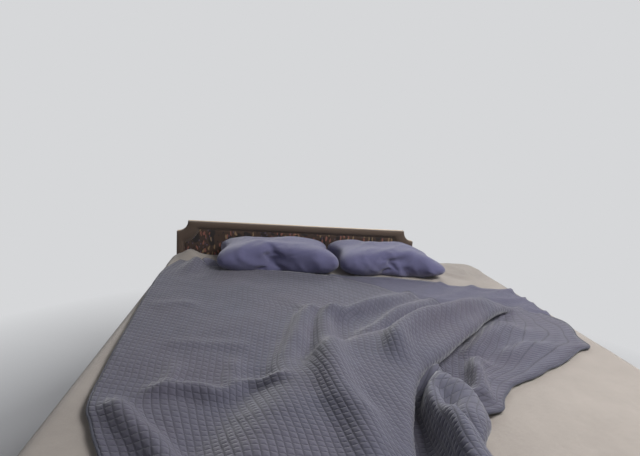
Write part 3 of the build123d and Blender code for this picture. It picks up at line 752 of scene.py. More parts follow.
# %% [markdown]
# ## Fitted sheet
# A fitted sheet is stretched over the mattress, with an elastic hem below. It is a grid laid over the top and down
# the sides, rounded at the corners and edges by arithmetic on each point, then creased: long shallow creases on top
# where the sheet has shifted, a raised tuck at its head-left corner, and gathers that deepen towards the hem.

# %% Fitted sheet
# the flat sheet's head edge (x, distance from the head), and the line along which its foot-right corner is turned
# under: a point on it, and the direction in which the cloth beyond it lay
flat_head_edge = ([flat_sheet_low[0], -0.50, -0.38, 0.02, 0.40, 0.47, flat_sheet_high[0]],
                  [0.175, 0.225, 0.275, 0.296, 0.352, 0.404, 0.445])
turn_point, turn_away = np.array([flat_sheet_high[0], 0.77]), np.array([0.689, 0.725])
fitted_thickness, fitted_spacing, fitted_corner, fitted_edge, fitted_sunk = 0.0012, 0.0125, 0.0612, 0.030, 0.0008
fitted_half = np.array([half_x, half_y]) + fitted_thickness
sides_down = fitted_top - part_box("fitted_sheet")[0][2]


def beyond_turn(x, down):
    """How far a place is beyond the line along which the flat sheet's corner is turned under."""
    return (np.array([x, down]) - turn_point) @ turn_away


def below_flat_sheet(x, down):
    """1 well below the flat sheet, falling to 0 just outside its edges."""
    fade = 0.03
    return (soft_step((down - np.interp(x, *flat_head_edge)) / fade + 0.6)
            * soft_step(0.6 - beyond_turn(x, down) / fade) * soft_step((flat_sheet_high[0] - x) / fade + 0.6))


def creases_on_top(x, y, inset):
    """Long shallow creases, a raised tuck at the head-left corner, and a slanting group where the sheet has shifted."""
    lengthwise = ridged(x * 9, y * 2.2, 3.1) * 0.5 + ridged(x * 4 + y * 3, y * 5 - x * 2, 7.7) * 0.5
    crease = 0.0035 * lengthwise ** 2 * max(0.25, 1 - inset / 0.22)
    crease += 0.002 * (noise.noise(Vector((x * 5, y * 5, 1))) + 0.6)
    shifted = hump(x, y, (0.62, head_y - 0.20), (0.15, 0.13)) * ridged(x * 8 + y * 7, y * 3 - x * 3, 5.3) ** 2
    crease += 0.030 * hump(x, y, (-0.675, head_y - 0.055), (0.042, 0.035)) + 0.016 * shifted
    return crease * (1 - 0.9 * below_flat_sheet(x, head_y - y))


def gathers(x, y, away, drop):
    """How far a side stands out: gathers that deepen towards the hem, and spare cloth at the corners."""
    run = (x if abs(away[1]) > abs(away[0]) else y) * 30
    deep = soft_step((drop - 0.06) / 0.12)
    out = deep * 0.004 * (ridged(run, drop * 4, 2.2) + 0.4 * math.sin(run * 3.1 + math.atan2(y, x))) + 0.001 * deep
    at_corner = np.prod(np.clip(np.abs(away) / fitted_corner, 0, 1))
    return max(out + 0.006 * at_corner * soft_step(drop / 0.08) * (0.5 + 0.5 * math.sin(run * 5)), 0)


def fitted_place(xy, depth):
    """Place and flat place of a point of the sheet: xy on the grid of the top, depth down from the grid's rim."""
    inset = min(fitted_half - np.abs(xy))
    core = np.clip(xy, fitted_corner - fitted_half, fitted_half - fitted_corner)
    away = xy - core
    size = np.linalg.norm(away)
    outward = away / size if size > 1e-9 else np.zeros(2)
    reach, drop, arc = max(abs(away)), depth if depth > fitted_edge else 0.0, depth - inset
    if abs(arc) < fitted_edge:
        angle = (arc + fitted_edge) / (2 * fitted_edge) * math.pi / 2
        reach, drop = fitted_corner - fitted_edge * (1 - math.sin(angle)), fitted_edge * (1 - math.cos(angle))
    x, y = core + outward * reach
    crease = creases_on_top(x, y, inset) if drop < fitted_edge else 0.0
    place = (x, y) + outward * gathers(x, y, away, drop)
    return (*place, fitted_top - fitted_sunk - drop + crease), xy + outward * depth


def fitted_sheet():
    """The grid of the top, and rows down the sides from its rim."""
    across, along = (int(round(2 * h / fitted_spacing)) for h in fitted_half)
    down = int(round(sides_down / fitted_spacing))
    xs, ys = (np.linspace(-h, h, n + 1) for h, n in zip(fitted_half, (across, along)))
    rows, where = [], {}

    def put(i, j, d):
        if (i, j, d) not in where:
            where[i, j, d] = len(rows)
            rows.append(fitted_place(np.array([xs[i], ys[j]]), d * sides_down / down))
        return where[i, j, d]

    faces = [[put(a, b, 0) for a, b in ((i, j), (i + 1, j), (i + 1, j + 1), (i, j + 1))]
             for j in range(along) for i in range(across)]
    rim = grid_rim(across, along)
    faces += [[put(*at, d) for at, d in ((here, k), (here, k + 1), (after, k + 1), (after, k))]
              for k in range(down) for here, after in zip(rim, rim[1:] + rim[:1])]
    points, flat = zip(*rows)
    sheet = mesh_piece("fitted_sheet_cloth", points, faces)
    lay_uv(sheet, flat)
    return thicken(sheet, fitted_thickness)


fitted = place_piece(fitted_sheet(), "bed", white_cotton, "white_cotton", "fitted_sheet")

# %% [markdown]
# ## Flat sheet
# The blue flat sheet lies over the fitted one from under the pillows to the foot. Its head edge runs a little
# askew. It is a grid bent between four edges, with small creases that fade where the quilt holds it down.

# %% Flat sheet
flat_thickness = 0.0010


def flat_place(x, down, top):
    """Place of a point of the flat sheet; top is the head edge's distance from the head at that x."""
    beyond = beyond_turn(x, down)
    if beyond > 0:                             # turned under, in one layer on the fitted sheet
        x, down = np.array([x, down]) - 2 * beyond * turn_away
        return x, head_y - down, bed_top - flat_thickness - 0.0001
    open_part = soft_step((x - 0.12) / 0.3) * soft_step((0.95 - down) / 0.3) + 0.12
    slant = ridged(x * 4 + down * 9, down * 3 - x * 2, 4.4) ** 2
    small = 0.5 + noise.noise(Vector((x * 14, down * 22, 9)))
    roll = 0.004 * math.exp(-((down - top) / 0.010) ** 2)
    corner = 0.026 * hump(x, down, (-0.585, 0.20), (0.060, 0.055))
    double = 0.0012 * soft_step(1 + (beyond + 0.75) / 0.05)
    rise = open_part * (0.012 * slant + 0.002 * small) + roll + corner + double
    return x, head_y - down, bed_top - flat_thickness / 2 + max(rise, 0)


def flat_sheet():
    """A grid between the four edges."""
    across, along = 96, 104
    left, right, foot_edge = flat_sheet_low[0], flat_sheet_high[0], head_y - flat_sheet_low[1]
    points, flat = [], []
    for j in range(along + 1):
        for i in range(across + 1):
            x = left + (right - left) * i / across
            top = np.interp(x, *flat_head_edge)
            down = top + (foot_edge - top) * j / along
            x += 0.035 * (1 - i / across) * soft_step((down - 1.30) / 0.25)   # its edge stays under the quilt
            flat.append((x, -down))
            points.append(flat_place(x, down, top))
    sheet = mesh_piece("flat_sheet_cloth", points, grid_faces(across, along))
    lay_uv(sheet, flat)
    return thicken(sheet, flat_thickness)


flat = place_piece(flat_sheet(), "bed", blue_cotton, "blue_cotton", "top_sheet")

# %% [markdown]
# ## Pillows
# A pillow is two panels sewn round the edge and stuffed. These two are plump, so they stand like soft boxes with a
# flat top and steep fronts. The case is drawn in that shape first. The cloth simulation then gives it a little more
# cloth than the shape needs, and pressure from inside: the spare cloth can only go into creases, which run from the
# corners across the front by themselves. The result is fitted to the CAD solid's box and pressed flat on the bed.

# %% Pillow case and filling
def pillow_case(name, width, depth, height, spacing):
    """A soft box of two panels that share their edge; rows crowd towards the edge, where the cloth turns."""
    across, along = int(width / spacing), int(depth / spacing)
    points, where, faces = [], {}, []

    def put(i, j, side):
        rim = i in (0, across) or j in (0, along)
        key = (i, j, 0 if rim else side)
        if key not in where:
            where[key] = len(points)
            u, v = (1.4 * s - 0.4 * s ** 3 for s in (2 * i / across - 1, 2 * j / along - 1))
            crown = ((1 - abs(u) ** 6) * (1 - abs(v) ** 3.5)) ** 0.45
            points.append((u * width / 2 * (1 - 0.10 * v ** 6), v * depth / 2 * (1 - 0.12 * u ** 8),
                           0 if rim else side * height / 2 * crown))
        return where[key]

    for j in range(along):
        for i in range(across):
            quad = [(i, j), (i + 1, j), (i + 1, j + 1), (i, j + 1)]
            faces += [[put(a, b, 1) for a, b in quad], [put(a, b, -1) for a, b in reversed(quad)]]
    return mesh_piece(name, points, faces)


def fill_case(piece, growth, pressure, frames=26):
    """Lets the case grow and blows it up with the cloth simulation, and keeps the result in the mesh."""
    cloth = piece.modifiers.new("cloth", "CLOTH")
    stiffness = {"tension_stiffness": 14, "compression_stiffness": 14, "shear_stiffness": 4, "bending_stiffness": 0.25}
    for key, value in {"quality": 6, "mass": 0.12, **stiffness, "shrink_min": -growth, "use_pressure": True,
                       "uniform_pressure_force": pressure}.items():
        setattr(cloth.settings, key, value)
    cloth.settings.effector_weights.gravity = 0
    cloth.collision_settings.use_collision = False
    cloth.point_cache.frame_start, cloth.point_cache.frame_end = 1, frames
    for frame_number in range(1, frames + 1):
        bpy.context.scene.frame_set(frame_number)
    apply_modifiers(piece)
    bpy.context.scene.frame_set(1)

# %% Pillows
case_spacing, case_pressure, squareness, meeting_slant, crease_height = 0.0115, 2.2, 0.75, 0.018, 0.0038


def centred(points):
    """Points as -1 to 1 in the box that holds them."""
    return (points - (points.max(0) + points.min(0)) / 2) / (points.max(0) - points.min(0)) * 2


def pillow(node, seed, ends, growth, meets):
    """A filled case in a CAD pillow's box; ends are how far its left and right ends sink, as shares of its height.

    The two pillows meet in a slanting line: meets is -1 or 1 for the end where the other one is.
    """
    low, high = (np.array(corner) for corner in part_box(node))
    size = high - low
    case = pillow_case(f"{node}_case", *size, case_spacing)
    flat_points = np.array([v.co for v in case.data.vertices])[:, :2]
    for vertex in case.data.vertices:                  # a little unevenness, so that the creases differ
        vertex.co += 0.0012 * Vector((0, 0, noise.noise(vertex.co * 14 + Vector((seed, 0, 0)))))
    fill_case(case, growth, case_pressure)
    box = centred(np.array([v.co for v in case.data.vertices]))
    # pressure rounds the case too much, so it is pushed back towards its box
    box *= (np.linalg.norm(box, axis=1) / (np.abs(box) ** 5).sum(1) ** 0.2)[:, None] ** squareness
    u, v, w = centred(box).T
    # the filling has settled: each end sinks, and the top dips where a head has lain
    sink = ends[0] * soft_step((-u - 0.35) / 0.65) + ends[1] * soft_step((u - 0.35) / 0.65)
    settled = np.array([noise.noise(Vector((a * 1.3 + seed, b * 1.2, 0.5))) for a, b in zip(u, v)])
    w = np.where(w > -0.6, w - (w + 0.6) * (sink + 0.12 * np.clip(settled, 0, None)), w)
    x = (low[0] + high[0]) / 2 + u * size[0] / 2 - meeting_slant * v * soft_step(u * meets)
    y = (low[1] + high[1]) / 2 + v * size[1] / 2
    z = low[2] + (w + 0.86) * size[2] / 1.86           # what is more than 0.86 below the middle is pressed flat
    # drag creases slant down to the right, over the top edge and down the front
    slant = np.array([ridged((a + b) * 17 + seed, (a - b) * 2.4, seed)
                      + 0.5 * ridged((a + b) * 31 - seed, (a - b) * 3.0, 2 * seed) ** 2 for a, b in zip(x, z - y)])
    crease = crease_height * (slant ** 3 - 0.15) * np.clip(1.2 - np.abs(u) ** 4, 0, 1)
    section = np.hypot(v, w) + 1e-6
    y, z = y + crease * v / section, z + crease * w / section
    floor_level = low[2] + 0.0006
    z = np.where(z < floor_level, floor_level + 0.0004 * w, z)
    case.data.vertices.foreach_set("co", np.stack([x, y, z], 1).astype(np.float32).ravel())
    lay_uv(case, flat_points)
    finer = case.modifiers.new("finer", "SUBSURF")
    finer.levels = finer.render_levels = 1
    place_piece(apply_modifiers(case), "bed", pillow_cotton, "blue_cotton", node)


pillow("pillow_left", 2.3, (0.16, 0.06), 0.05, 1)
pillow("pillow_right", 6.1, (0.0, 0.36), 0.04, -1)

# %% [markdown]
# ## Headboard
# The headboard is a board with two padded fabrics: a plain border that follows its scooped outline, and a patterned
# insert inside it. Each pad is lofted from its outline: the foam crowns between its edges, and a thin welt lies in
# the seam where the two meet. The outlines are drawn with the same arcs as the CAD part, both struck from the
# board's outer corner, so the pads fit the board all the way round.

# %% Headboard pads
border_low, border_high = (np.array(corner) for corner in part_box("headboard_border"))
insert_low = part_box("headboard_insert")[0]
board_half = (border_high[0] - border_low[0]) / 2
board_middle = (border_high[0] + border_low[0]) / 2
board_low, board_top = border_low[2], border_high[2]
back_y, front_y = border_high[1], border_low[1]
outer_cove, inner_cove, border_inset, seam = 0.052, 0.112, insert_low[0] - border_low[0], 0.001
welt_radius, welt_depth, pucker_depth = 0.0032, 0.010, 0.0012


def headboard_ring(inset, cove, arc_steps=14, side_steps=16, long_steps=60):
    """The outline at an inset: up the right side, round its cove, along the top and down, as (x, z)."""
    half, top = board_half, board_top - board_low
    reach = math.sqrt(max(cove ** 2 - inset ** 2, 0))
    first = math.asin(min(inset / cove, 1))
    arc = [(half - cove * math.sin(a), top - cove * math.cos(a))
           for a in np.linspace(first, math.pi / 2 - first, arc_steps + 1)]
    right = [(half - inset, inset + (top - reach - inset) * k / side_steps) for k in range(side_steps)]
    across = [(half - reach - (2 * half - 2 * reach) * k / long_steps, top - inset) for k in range(1, long_steps)]
    left = [(-x, z) for x, z in reversed(right + arc)]
    bottom = [(inset - half + (2 * half - 2 * inset) * k / long_steps, inset) for k in range(1, long_steps)]
    return [(x + board_middle, z + board_low) for x, z in right + arc + across + left + bottom]


def pad_rings(outer, inner, front, profile):
    """Rings between two outlines; the profile has shares of the way inwards, and of the depth from back to front."""
    return [[(a[0] + (b[0] - a[0]) * share, back_y + (front - back_y) * depth, a[1] + (b[1] - a[1]) * share)
             for a, b in zip(outer, inner)] for share, depth in profile]


def ring_tube(name, ring, y, radius, sides=8):
    """A round welt that follows a closed outline."""
    points = []
    for k, (x, z) in enumerate(ring):
        before, after = ring[k - 1], ring[(k + 1) % len(ring)]
        along = Vector((after[0] - before[0], 0, after[1] - before[1])).normalized()
        out = Vector((along.z, 0, -along.x))
        for a in (2 * math.pi * s / sides for s in range(sides)):
            points.append(Vector((x, y, z)) + out * radius * math.cos(a) + Vector((0, -radius * math.sin(a), 0)))
    return mesh_piece(name, points, ring_faces(sides, len(ring), closed=True))


rings = pad_rings(headboard_ring(0.0, outer_cove), headboard_ring(border_inset, inner_cove), front_y,
                  ((0.02, 0.0), (0.0, 0.35), (0.015, 0.62), (0.08, 0.84), (0.22, 0.96), (0.42, 1.0), (0.62, 0.985),
                   (0.80, 0.90), (0.92, 0.74), (0.97, 0.45), (0.97, 0.0)))
border = orient(mesh_piece("headboard_border_pad", [p for ring in rings for p in ring],
                           ring_faces(len(rings[0]), len(rings), closed=True)))
for vertex in border.data.vertices:
    x, y, z = vertex.co
    if y < back_y - 0.012:
        vertex.co.y += max(noise.noise(Vector((x * 24, z * 24, 3))) * pucker_depth, -0.0005)
place_piece(border, "bed", border_finish, "taupe_fabric", "headboard_border")

insert_ring = headboard_ring(border_inset + seam, inner_cove + seam)
rings = pad_rings(insert_ring, [(board_middle, (board_low + board_top) / 2)] * len(insert_ring), insert_low[1],
                  ((0.0, 0.0), (0.0, 0.5), (0.004, 0.66), (0.012, 0.80), (0.03, 0.90), (0.08, 0.97), (0.2, 1.0),
                   (0.4, 1.0), (0.6, 1.0), (0.8, 1.0), (0.92, 1.0)))
insert = orient(lofted("headboard_insert_pad", rings))
place_piece(insert, "bed", insert_finish, "patterned_fabric", "headboard_insert")

welt_ring = headboard_ring(border_inset - seam, inner_cove - seam)
welt = orient(ring_tube("headboard_welt", welt_ring, front_y + welt_depth, welt_radius))
place_piece(welt, "bed", border_finish, "taupe_fabric")

# %% [markdown]
# ## Coverlet: how it is laid out
# The quilted coverlet makes the picture, and it is the hardest piece to place: it was pushed back in long folds and
# two overlaps. A simulated cloth would crumple somewhere else each time, so this one is laid out the way a pattern
# maker would do it. The plan of the bed gets a few drawn lines: the crest of each fold and the edge of each overlap.
# Every line takes up a known length of cloth. Going from a place on the plan to the cloth that lies there is then a
# sum, and each point of the flat coverlet is looked for at the place whose sum gives that point.
#
# Plan points are (x, distance from the head) in metres.

# %% Lines on the plan
def curve(path, step):
    """The line through the points as a smooth one (Catmull-Rom)."""
    p = np.asarray(path, float)
    p = np.vstack([2 * p[0] - p[1], p, 2 * p[-1] - p[-2]])
    out = []
    for a, b, c, d in zip(p, p[1:], p[2:], p[3:]):
        count = max(2, int(np.linalg.norm(c - b) / step))
        out += [0.5 * (2 * b + (c - a) * t + (2 * a - 5 * b + 4 * c - d) * t * t + (3 * b - a - 3 * c + d) * t ** 3)
                for t in np.arange(count) / count]
    return np.array(out + [p[-2]])


def from_path(points, path):
    """Distance of points from a line (positive on its right), how far along they are, the side's direction, length."""
    step = path[1:] - path[:-1]
    length = np.linalg.norm(step, axis=1)
    run_start = np.concatenate([[0], np.cumsum(length)])
    ahead = step / length[:, None]
    sides = np.stack([ahead[:, 1], -ahead[:, 0]], 1)
    corner = unit(np.concatenate([sides[:1], (sides[:-1] + sides[1:]) / 2, sides[-1:]]))
    best, run, side = np.full(len(points), 1e9), np.zeros(len(points)), np.zeros(len(points))
    direction = np.zeros((len(points), 2))
    for k in range(len(step)):                 # the first and the last step go on beyond their ends
        t = np.clip((points - path[k]) @ ahead[k], -1e9 if k == 0 else 0, 1e9 if k == len(step) - 1 else length[k])
        away = points - (path[k] + t[:, None] * ahead[k])
        distance = np.linalg.norm(away, axis=1)
        share = np.clip(t / length[k], 0, 1)[:, None]
        better = distance < best
        best = np.where(better, distance, best)
        run = np.where(better, run_start[k] + t, run)
        side = np.where(better, np.where(away @ sides[k] >= 0, 1.0, -1.0), side)
        direction[better] = unit(corner[k] * (1 - share) + corner[k + 1] * share)[better]
    return side * best, run, direction, run_start[-1]
# %% Folds, overlaps and edges of the coverlet
# name: crest, [(share of its run, height, half width)], fade in, fade out, and the area: 0 the main part,
# 1 between the overlaps, 2 right of them
FOLDS = {
    "high_fold": ([(-0.15, 0.84), (-0.083, 0.793), (-0.003, 0.734), (0.084, 0.669), (0.214, 0.585), (0.28, 0.53)],
                  [(0, .030, .035), (.45, .046, .045), (.8, .030, .050), (1, .022, .055)], 0.08, 0.0, 0),
    "middle_fold": ([(-0.10, 0.97), (-0.014, 0.923), (0.048, 0.868), (0.124, 0.781), (0.223, 0.699), (0.33, 0.62)],
                    [(0, .030, .035), (.5, .050, .048), (.8, .036, .050), (1, .022, .055)], 0.10, 0.0, 0),
    "low_fold": ([(-0.02, 1.21), (0.005, 1.12), (0.035, 1.054), (0.099, 0.985), (0.165, 0.93), (0.258, 0.87),
                  (0.386, 0.78), (0.46, 0.72)], [(0, .035, .050), (.4, .052, .052), (.75, .046, .050), (1, .020, .055)],
                 0.12, 0.0, 0),
    "long_ridge": ([(-0.10, 0.74), (-0.141, 0.854), (-0.156, 0.985), (-0.168, 1.104), (-0.175, 1.236),
                    (-0.174, 1.319), (-0.162, 1.384), (-0.149, 1.441), (-0.16, 1.7)],
                   [(0, .044, .044), (.4, .038, .055), (1, .030, .065)], 0.03, 0.30, 0),
    "left_ridge": ([(-0.150, 0.725), (-0.195, 0.80), (-0.215, 0.88), (-0.236, 0.966), (-0.267, 1.086),
                    (-0.292, 1.206), (-0.30, 1.30)],
                   [(0, .042, .042), (.5, .034, .050), (1, .024, .055)], 0.03, 0.15, 0),
    "step_line": ([(-0.60, 1.212), (-0.499, 1.21), (-0.458, 1.214), (-0.429, 1.238), (-0.397, 1.218),
                   (-0.357, 1.189), (-0.331, 1.21), (-0.25, 1.222)], [(0, .022, .026), (1, .024, .026)], 0.05, 0.06, 0),
    "step_fold_1": ([(-0.40, 1.05), (-0.395, 1.13), (-0.405, 1.21)], [(0, .012, .022), (1, .016, .024)], 0.06, 0.02, 0),
    "step_fold_2": ([(-0.545, 1.08), (-0.535, 1.14), (-0.545, 1.21)], [(0, .010, .022), (1, .016, .024)],
                    0.05, 0.02, 0),
    "slanting_ridge": ([(-0.65, 1.25), (-0.609, 1.292), (-0.578, 1.335), (-0.545, 1.368), (-0.512, 1.412),
                        (-0.481, 1.457), (-0.44, 1.56)], [(0, .030, .032), (1, .028, .040)], 0.04, 0.12, 0),
    "corner_hump": ([(-0.60, 0.12), (-0.615, 0.20), (-0.64, 0.30), (-0.66, 0.42)],
                    [(0, .042, .060), (.4, .030, .055), (1, .008, .05)], 0.0, 0.15, 0),
    "wrinkle_1": ([(-0.70, 0.71), (-0.62, 0.695), (-0.52, 0.70)], [(0, .008, .03), (1, .008, .03)], 0.05, 0.06, 0),
    "wrinkle_2": ([(-0.60, 0.975), (-0.47, 0.99), (-0.34, 0.985)], [(0, .008, .03), (1, .007, .03)], 0.06, 0.06, 0),
    "tongue_edge": ([(0.060, 1.165), (0.035, 1.225), (0.022, 1.29), (0.018, 1.35), (0.020, 1.41), (0.02, 1.50),
                     (0.0, 1.66)], [(0, .004, .020), (.3, .014, .022), (1, .014, .030)], 0.03, 0.20, 1),
    "tongue_groove": ([(0.062, 1.22), (0.050, 1.28), (0.047, 1.367), (0.044, 1.42), (0.040, 1.55)],
                      [(0, -.012, .020), (.5, -.024, .020), (1, -.016, .024)], 0.05, 0.10, 1),
    "right_bulge": ([(0.20, 1.06), (0.30, 0.985), (0.41, 0.90), (0.52, 0.82)],
                    [(0, .030, .045), (.5, .042, .060), (1, .030, .055)], 0.08, 0.08, 2),
    "peak_edge": ([(0.27, 1.06), (0.225, 1.12), (0.206, 1.165), (0.190, 1.21), (0.165, 1.28), (0.145, 1.34)],
                  [(0, .028, .028), (.4, .046, .028), (1, .020, .030)], 0.04, 0.06, 2),
    "back_fold": ([(0.54, 0.96), (0.44, 1.00), (0.37, 1.04), (0.32, 1.09)], [(0, .028, .040), (1, .024, .035)],
                  0.08, 0.08, 2),
}
FOLDS = {name: (curve(row[0], 0.05),) + row[1:] for name, row in FOLDS.items()}
# An overlap: the cloth turns back under its edge, and then forward again; the width turned back grows along the run.
# Beyond the edge the cloth lies low in a slit (distance from the head, width) and then rises in a wall of that height.
OVERLAPS = [
    dict(path=[(0.74, 0.52), (0.591, 0.694), (0.495, 0.759), (0.39, 0.845), (0.281, 0.955), (0.185, 1.045),
               (0.11, 1.112), (0.052, 1.165), (0.015, 1.215), (-0.018, 1.275), (-0.045, 1.34), (-0.068, 1.402),
               (-0.09, 1.48), (-0.11, 1.60), (-0.12, 1.80), (-0.12, 2.4)],
         width=[(0.22, 0.0), (0.40, 0.02), (0.65, 0.07), (0.85, 0.13), (1.05, 0.19), (1.5, 0.26), (2.2, 0.27)],
         upper=0.019, lower=0.012, ramp=[(0.9, 0.10), (1.5, 0.18)], rise=(0.15, 0.45), wall=0.062,
         slit=[(0.90, 0.0), (1.05, 0.018), (1.12, 0.020), (1.155, 0.016), (1.20, 0.032), (1.32, 0.037), (1.45, 0.075),
               (1.60, 0.085), (2.0, 0.06)]),
    dict(path=[(0.050, 1.115), (0.078, 1.155), (0.098, 1.20), (0.112, 1.245), (0.122, 1.295), (0.124, 1.34),
               (0.114, 1.385), (0.080, 1.43), (0.050, 1.48), (0.042, 1.6), (0.045, 2.4)],
         width=[(0.0, 0.0), (0.12, 0.008), (0.3, 0.035), (0.5, 0.05), (1.3, 0.06)],
         upper=0.012, lower=0.007, ramp=[(0, 0.05)], rise=(-0.02, 0.06), wall=0.0, slit=[(0, 0.0)]),
]
for row in OVERLAPS:
    row["fine"], row["path"] = curve(row["path"], 0.01), curve(row["path"], 0.04)
# the four edges: plan points, and the cloth gathered since the point before
HEM = [(-0.700, 0.165, 0), (-0.600, 0.225, 0.03), (-0.480, 0.265, 0), (-0.345, 0.272, 0), (-0.170, 0.300, 0),
       (-0.045, 0.330, 0), (0.065, 0.402, 0), (0.165, 0.492, 0), (0.225, 0.560, 0.01), (0.29, 0.640, 0.02),
       (0.36, 0.735, 0.02), (0.425, 0.772, 0.01), (0.517, 0.723, 0), (0.609, 0.667, 0), (0.64, 0.65, 0)]
LEFT = [(-0.700, 0.165, 0), (-0.728, 0.264, 0), (-0.740, 0.409, 0), (-0.727, 0.713, 0.005), (-0.709, 0.971, 0.005),
        (-0.698, 1.115, 0), (-0.683, 1.250, 0.01), (-0.641, 1.347, 0.01), (-0.594, 1.429, 0.01), (-0.57, 1.62, 0),
        (-0.580, 1.905, 0), (-0.580, 2.11, 0)]
RIGHT = [(0.64, 0.65, 0), (0.715, 0.74, 0), (0.715, 0.86, 0.01), (0.64, 0.98, 0.02), (0.50, 1.08, 0.02),
         (0.37, 1.15, 0.02), (0.275, 1.205, 0.02), (0.215, 1.285, 0.02), (0.158, 1.345, 0.01), (0.103, 1.42, 0.01),
         (0.064, 1.50, 0.02), (0.064, 1.65, 0.02), (0.08, 1.905, 0), (0.08, 2.10, 0)]
FOOT = [(-0.58, 2.11, 0), (-0.35, 2.11, 0), (-0.12, 2.105, 0.05), (0.08, 2.10, 0)]
quilt_columns, quilt_rows = 82, 98           # squares of stitching across and along
quilt_width, quilt_length = quilt_columns * stitch_square, quilt_rows * stitch_square
print(f"coverlet {quilt_width:.2f} x {quilt_length:.2f} m, {len(FOLDS)} folds, {len(OVERLAPS)} overlaps")

# %% [markdown]
# ## Coverlet: from a place on the plan to the cloth
# Walking across a fold of height h and half width w uses more cloth than the plan shows. For a wave of that shape the
# extra is close to pi squared times h squared over 8 w, half of it on each side of the crest, and the cloth beyond is
# shifted by as much. An overlap takes twice the width turned back, and its two half circles. What these sums don't
# explain is spread by a thin-plate warp, so that the four edges of the cloth lie exactly on the drawn edges.

# %% Cloth taken up by folds and overlaps
fold_reach = 0.20                              # how far beyond a fold its shift fades
wall_place, wall_start, wall_fade = (1.10, 0.17), 0.014, 0.09    # where along the bed the wall grows, and its section


def fold_shift(plan, area):
    """Cloth shifted by the folds of an area, and their height."""
    shift, height = np.zeros_like(plan), np.zeros(len(plan))
    for path, profile, fade_in, fade_out, where in FOLDS.values():
        if where != area:
            continue
        away, run, direction, total = from_path(plan, path)
        at, heights, widths = zip(*profile)
        share = np.clip(run / total, 0, 1)
        h, w = np.interp(share, at, heights), np.interp(share, at, widths)
        for left, fade in ((run, fade_in), (total - run, fade_out)):
            if fade:
                h = h * soft_step(left / fade)
        used = math.pi ** 2 * h ** 2 / (8 * w) * np.exp(-np.clip(np.abs(away) - w, 0, None) / fold_reach)
        t = np.clip(away / w, -1, 1)             # the slopes take the cloth up, the crest and the feet take none
        shift += (used * (t / 2 - np.sin(2 * math.pi * t) / (4 * math.pi)))[:, None] * direction
        height += h * np.where(np.abs(away) < w, np.cos(np.pi * away / w / 2) ** 2, 0)
    return shift, height


def overlap_at(row, run):
    """Width turned back, radius of the upper and the lower bend, and all the cloth the overlap takes."""
    width = np.interp(run, *zip(*row["width"]))
    size = np.clip(soft_step((run - row["rise"][0]) / (row["rise"][1] - row["rise"][0])), 0.02, 1)
    upper, lower = row["upper"] * size, row["lower"] * size
    return width, upper, lower, 2 * width + math.pi * (upper + lower)


def cloth_at(plan, area, warp=None):
    """The cloth and its height at plan points in the main part (0), between the overlaps (1) or right of them (2)."""
    shift, height = fold_shift(plan, area)
    cloth = plan + shift
    for k, row in enumerate(OVERLAPS[:area + 1]):
        away, run, direction, _ = from_path(plan, row["path"])
        width, upper, lower, taken = overlap_at(row, run)
        if area > k:
            past = away - np.interp(plan[:, 1], *zip(*row["slit"]))
            climbed = soft_step(past / wall_start)
            wall = row["wall"] * soft_step((plan[:, 1] - wall_place[0]) / wall_place[1]) * (area == k + 1) * climbed
            cloth = cloth + (taken + 0.8 * wall)[:, None] * direction
            height = height * soft_step(past / 0.03) + wall * np.exp(-np.clip(past - 0.02, 0, None) / wall_fade)
        else:
            ramp = np.interp(run, *zip(*row["ramp"]))
            height = height + 2 * (upper + lower) * soft_step((away + width + ramp) / ramp)
    return cloth if warp is None else cloth + warp(plan), height


def thin_plate(points, values, soft=2e-4):
    """A smooth map that gives the values at the points."""
    def kernel(q):
        squared = ((q[:, None] - points[None]) ** 2).sum(2)
        return 0.5 * squared * np.log(np.maximum(squared, 1e-12))

    n = len(points)
    plane = np.hstack([np.ones((n, 1)), points])
    system = np.block([[kernel(points) + soft * np.eye(n), plane], [plane.T, np.zeros((3, 3))]])
    weights = np.linalg.solve(system, np.vstack([values, np.zeros((3, 2))]))
    return lambda q: kernel(q) @ weights[:n] + np.hstack([np.ones((len(q), 1)), q]) @ weights[n:]


def area_of(plan):
    """Which area a plan point lies in."""
    from_first = from_path(plan, OVERLAPS[0]["path"])[0]
    from_second, run = from_path(plan, OVERLAPS[1]["path"])[:2]
    return np.where(from_first <= 0, 0, np.where((from_second > 0) | (run < 0), 2, 1))


def measured(edge, length):
    """An edge's plan points, and how far along the cloth's edge each one is."""
    plan, gathered = np.array(edge)[:, :2], np.cumsum([row[2] for row in edge])
    run = np.concatenate([[0], np.cumsum(np.linalg.norm(np.diff(plan, axis=0), axis=1))]) + gathered
    return plan, run * length / run[-1]


# each edge of the cloth: its drawn line, its length, the other coordinate there, which way it runs, points to keep
EDGES = ((HEM, quilt_width, 0.0, 0, slice(None)), (LEFT, quilt_length, 0.0, 1, slice(1, None)),
         (RIGHT, quilt_length, quilt_width, 1, slice(1, None)), (FOOT, quilt_width, quilt_length, 0, slice(1, -1)))
marks_plan, marks_cloth = [], []
for line, length, other, way, kept in EDGES:
    plan, run = measured(line, length)
    pair = (run, np.full(len(run), other))
    marks_plan.append(plan[kept])
    marks_cloth.append(np.stack(pair if way == 0 else pair[::-1], 1)[kept])
marks_plan, marks_cloth = np.vstack(marks_plan), np.vstack(marks_cloth)
mark_areas = area_of(marks_plan)
summed = np.zeros_like(marks_plan)
for area in range(3):
    chosen = mark_areas == area
    if chosen.any():
        summed[chosen] = cloth_at(marks_plan[chosen], area)[0]
warp = thin_plate(marks_plan, marks_cloth - summed)
print(len(marks_plan), "marks hold the coverlet's edges")

# %% [markdown]
# ## Coverlet: every stitch finds its place
# The sum can't be turned round as a formula, but it can be solved: start from a rough place, see which cloth the sum
# gives there, and move by a part of the error, again and again. Points that end beyond the first overlap's edge
# either lie inside the turned-back part, which is placed straight from the bends' radii, or in the next area.

